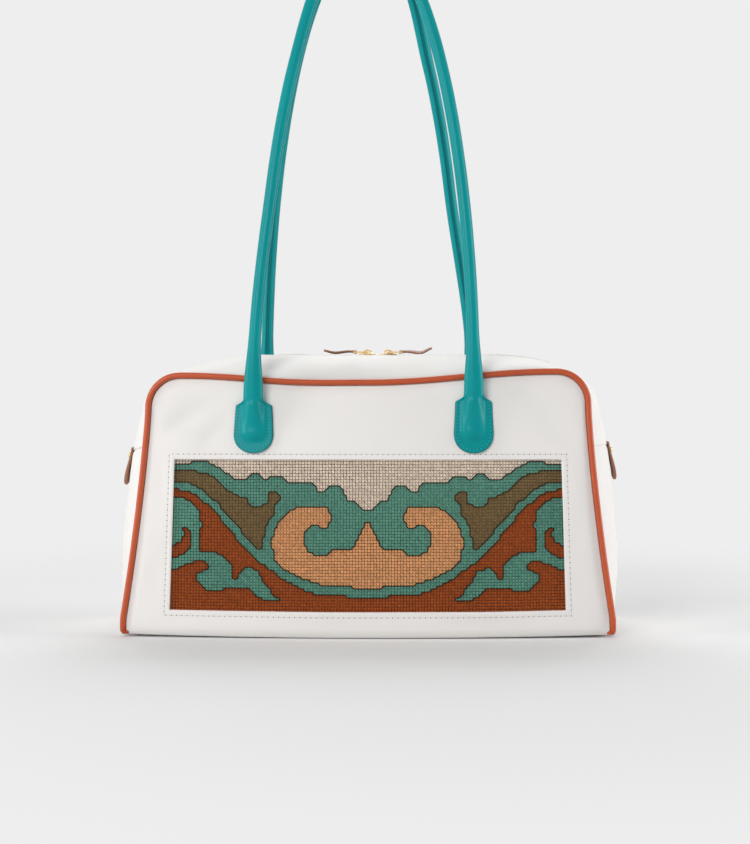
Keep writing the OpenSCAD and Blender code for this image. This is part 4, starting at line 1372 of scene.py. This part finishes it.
# Pull strips: soft brown leather, one end curling up
strip = {"stations": 34, "sides": 16, "thickness": 0.0016, "curl": 0.0026, "leftCurl": 0.0009,
         "half": 0.0034, "lengthShare": 0.985, "ripple": 0.0005, "rippleTurns": 7.0, "twist": 0.22,
         "twistTurns": 2.6}


def pullStrip(side, name, node, body, curl):
    low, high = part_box(node)
    middleZ = (low.z + high.z) / 2
    start = low.x if side > 0 else high.x
    length = (high.x - low.x) * strip["lengthShare"]
    stations = []
    for k in range(strip["stations"] + 1):
        share = k / strip["stations"]
        x = start + side * length * share
        ripple = strip["ripple"] * math.sin(share * strip["rippleTurns"])
        rise = curl * smooth(0.55, 1.0, share) ** 1.5 + ripple
        tip = math.sqrt(max(0.02, 1 - smooth(0.86, 1.06, share)))
        width = strip["half"] * (1 - 0.25 * smooth(0.0, 0.2, 0.2 - share)) * tip
        half = strip["thickness"] / 2 * mixed(1.6, 1.0, smooth(0.02, 0.2, share))
        twist = strip["twist"] * math.sin(share * strip["twistTurns"]) * (1 if side > 0 else -0.6)
        first = Vector((0, math.cos(twist), math.sin(twist))) * width
        second = Vector((0, -math.sin(twist), math.cos(twist))) * half
        stations.append((Vector((x, 0, middleZ + rise)), first, second))
    bm = tube(stations, strip["sides"], 0.5)
    return addPiece(name, bm, brownLeather, body, "brown_leather", [node])


pullStrip(1, "pull_leather_right", "pull_strip_right", "pull_right", strip["curl"])
pullStrip(-1, "pull_leather_left", "pull_strip_left", "pull_left", strip["leftCurl"])

# Zip end tabs: a folded tongue of brown leather on each side, held by a brass stud
endTab = {"half": 0.0075, "stations": 30, "sides": 24, "thickness": 0.0030, "stud": 0.0022, "stand": 0.0012,
          "standMore": 0.0016, "studDown": 0.006, "studOut": 0.0028}


def endTabPiece(side, name, node):
    low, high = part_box(node)
    stations = []
    for k in range(endTab["stations"] + 1):
        share = k / endTab["stations"]
        z = mixed(high.z, low.z, share)
        wall = sideX(z) + sideBulge(z)
        stand = endTab["stand"] + endTab["standMore"] * smooth(0.1, 0.8, share)
        half = endTab["half"] * math.sqrt(max(0.03, 1 - max(0.0, (share - 0.72) / 0.285) ** 2.2))
        half *= mixed(0.8, 1.0, smooth(0.0, 0.4, share))
        thick = endTab["thickness"] / 2 * mixed(0.75, 1.15, smooth(0.1, 0.85, share))
        thick *= math.sqrt(max(0.1, 1 - smooth(0.9, 1.05, share)))
        centre = Vector((side * (wall + stand), 0, z))
        stations.append((centre, Vector((0, half, 0)), Vector((side * thick, 0, 0))))
    shell = tube(stations, endTab["sides"], 0.6)
    piece = addPiece(name, shell, brownLeather, "bag", "brown_leather", [node])
    studZ = high.z - endTab["studDown"]
    bm = bmesh.new()
    bmesh.ops.create_uvsphere(bm, u_segments=20, v_segments=10, radius=endTab["stud"])
    bmesh.ops.scale(bm, verts=bm.verts, vec=(0.6, 1, 1))
    place = Vector((side * (sideX(studZ) + sideBulge(studZ) + endTab["studOut"]), 0, studZ))
    bmesh.ops.translate(bm, verts=bm.verts, vec=place)
    addPiece(name + "_stud", bm, brass, "bag", "brass")
    return piece


endTabPiece(1, "end_tab_right", "zip_end_tab_right")
endTabPiece(-1, "end_tab_left", "zip_end_tab_left")
print("zip parts made")


# Studio: a pale floor that runs into the backdrop, soft lamps and the camera
studio = {"backdrop": 0.855, "ambient": 0.30, "floorHalf": 6.0, "floorTone": 0.82, "fadeStart": 0.34,
          "fadeEnd": 0.75}


def floorFinish():
    made = Finish("floor")
    place = made.place()
    far = made.node("ShaderNodeVectorMath", {"operation": "LENGTH"}, {0: place}, out=1)
    fade = made.node("ShaderNodeMapRange", {"interpolation_type": "SMOOTHSTEP"}, {
        0: far, 1: studio["fadeStart"], 2: studio["fadeEnd"]})
    path = made.node("ShaderNodeLightPath")
    glossy = made.node("ShaderNodeLightPath", out=3)
    through = made.node("ShaderNodeLightPath", out=6)
    seen = made.node("ShaderNodeMath", {"operation": "MAXIMUM"}, {
        0: path, 1: made.node("ShaderNodeMath", {"operation": "MAXIMUM"}, {0: glossy, 1: through})})
    matt = made.node("ShaderNodeBsdfDiffuse", sockets={"Color": (studio["floorTone"],) * 3 + (1,)})
    glow = made.node("ShaderNodeEmission", sockets={"Color": (studio["backdrop"],) * 3 + (1,)})
    mix = made.node("ShaderNodeMixShader", sockets={0: fade * seen, 1: matt, 2: glow})
    made.node("ShaderNodeOutputMaterial", sockets={0: mix})
    return made.material


floorMesh = bmesh.new()
bmesh.ops.create_grid(floorMesh, x_segments=1, y_segments=1, size=studio["floorHalf"])
floorData = bpy.data.meshes.new("floor")
floorMesh.to_mesh(floorData)
floorMesh.free()
floorData.materials.append(floorFinish())
floor = bpy.data.objects.new("floor", floorData)
scene.collection.objects.link(floor)


def worldLight():
    world = bpy.data.worlds.new("studio")
    scene.world = world
    world.use_nodes = True
    tree = world.node_tree
    tree.nodes.clear()
    path = tree.nodes.new("ShaderNodeLightPath")
    seen = tree.nodes.new("ShaderNodeMath")
    seen.operation = "MAXIMUM"
    tree.links.new(path.outputs["Is Camera Ray"], seen.inputs[0])
    tree.links.new(path.outputs["Is Glossy Ray"], seen.inputs[1])
    soft = tree.nodes.new("ShaderNodeBackground")
    soft.inputs[0].default_value = (1, 1, 1, 1)
    soft.inputs[1].default_value = studio["ambient"]
    shown = tree.nodes.new("ShaderNodeBackground")
    shown.inputs[0].default_value = (studio["backdrop"],) * 3 + (1,)
    mix = tree.nodes.new("ShaderNodeMixShader")
    tree.links.new(seen.outputs[0], mix.inputs[0])
    tree.links.new(soft.outputs[0], mix.inputs[1])
    tree.links.new(shown.outputs[0], mix.inputs[2])
    end = tree.nodes.new("ShaderNodeOutputWorld")
    tree.links.new(mix.outputs[0], end.inputs[0])


worldLight()


def lamp(name, place, aim, size, power):
    data = bpy.data.lights.new(name, "AREA")
    data.shape = "RECTANGLE"
    data.size, data.size_y = size
    data.energy = power
    made = bpy.data.objects.new(name, data)
    made.location = place
    made.rotation_euler = (Vector(aim) - Vector(place)).to_track_quat("-Z", "Y").to_euler()
    scene.collection.objects.link(made)


lamp("left", (-1.7, -0.5, 0.5), (0, 0, 0.2), (0.4, 1.3), 13)
lamp("right", (1.7, -0.1, 0.5), (0, 0, 0.15), (0.5, 1.2), 18)
lamp("front", (-0.8, -1.8, 0.9), (0, 0, 0.15), (0.9, 0.7), 18)
lamp("top", (0, 1.2, 1.5), (0, 0, 0.05), (1.4, 1.0), 16)

view = {"distance": 1.5, "right": 0.046, "height": 0.212, "yaw": -0.85, "pitch": 2.24, "focal": 2006.0,
        "slide": 26.7, "longSide": 844, "sensor": 36, "clipEnd": 50}
cameraData = bpy.data.cameras.new("camera")
cameraData.sensor_width = view["sensor"]
cameraData.lens = view["focal"] * view["sensor"] / view["longSide"]
cameraData.shift_x = -view["slide"] / view["longSide"]
cameraData.clip_end = view["clipEnd"]
camera = bpy.data.objects.new("camera", cameraData)
yaw = math.radians(view["yaw"])
tilt = math.radians(view["pitch"])
ahead = Vector((math.sin(yaw) * math.cos(tilt), math.cos(yaw) * math.cos(tilt), -math.sin(tilt)))
camera.location = (view["right"], -view["distance"], view["height"])
camera.rotation_euler = ahead.to_track_quat("-Z", "Y").to_euler()
scene.collection.objects.link(camera)
scene.camera = camera
print("studio made")
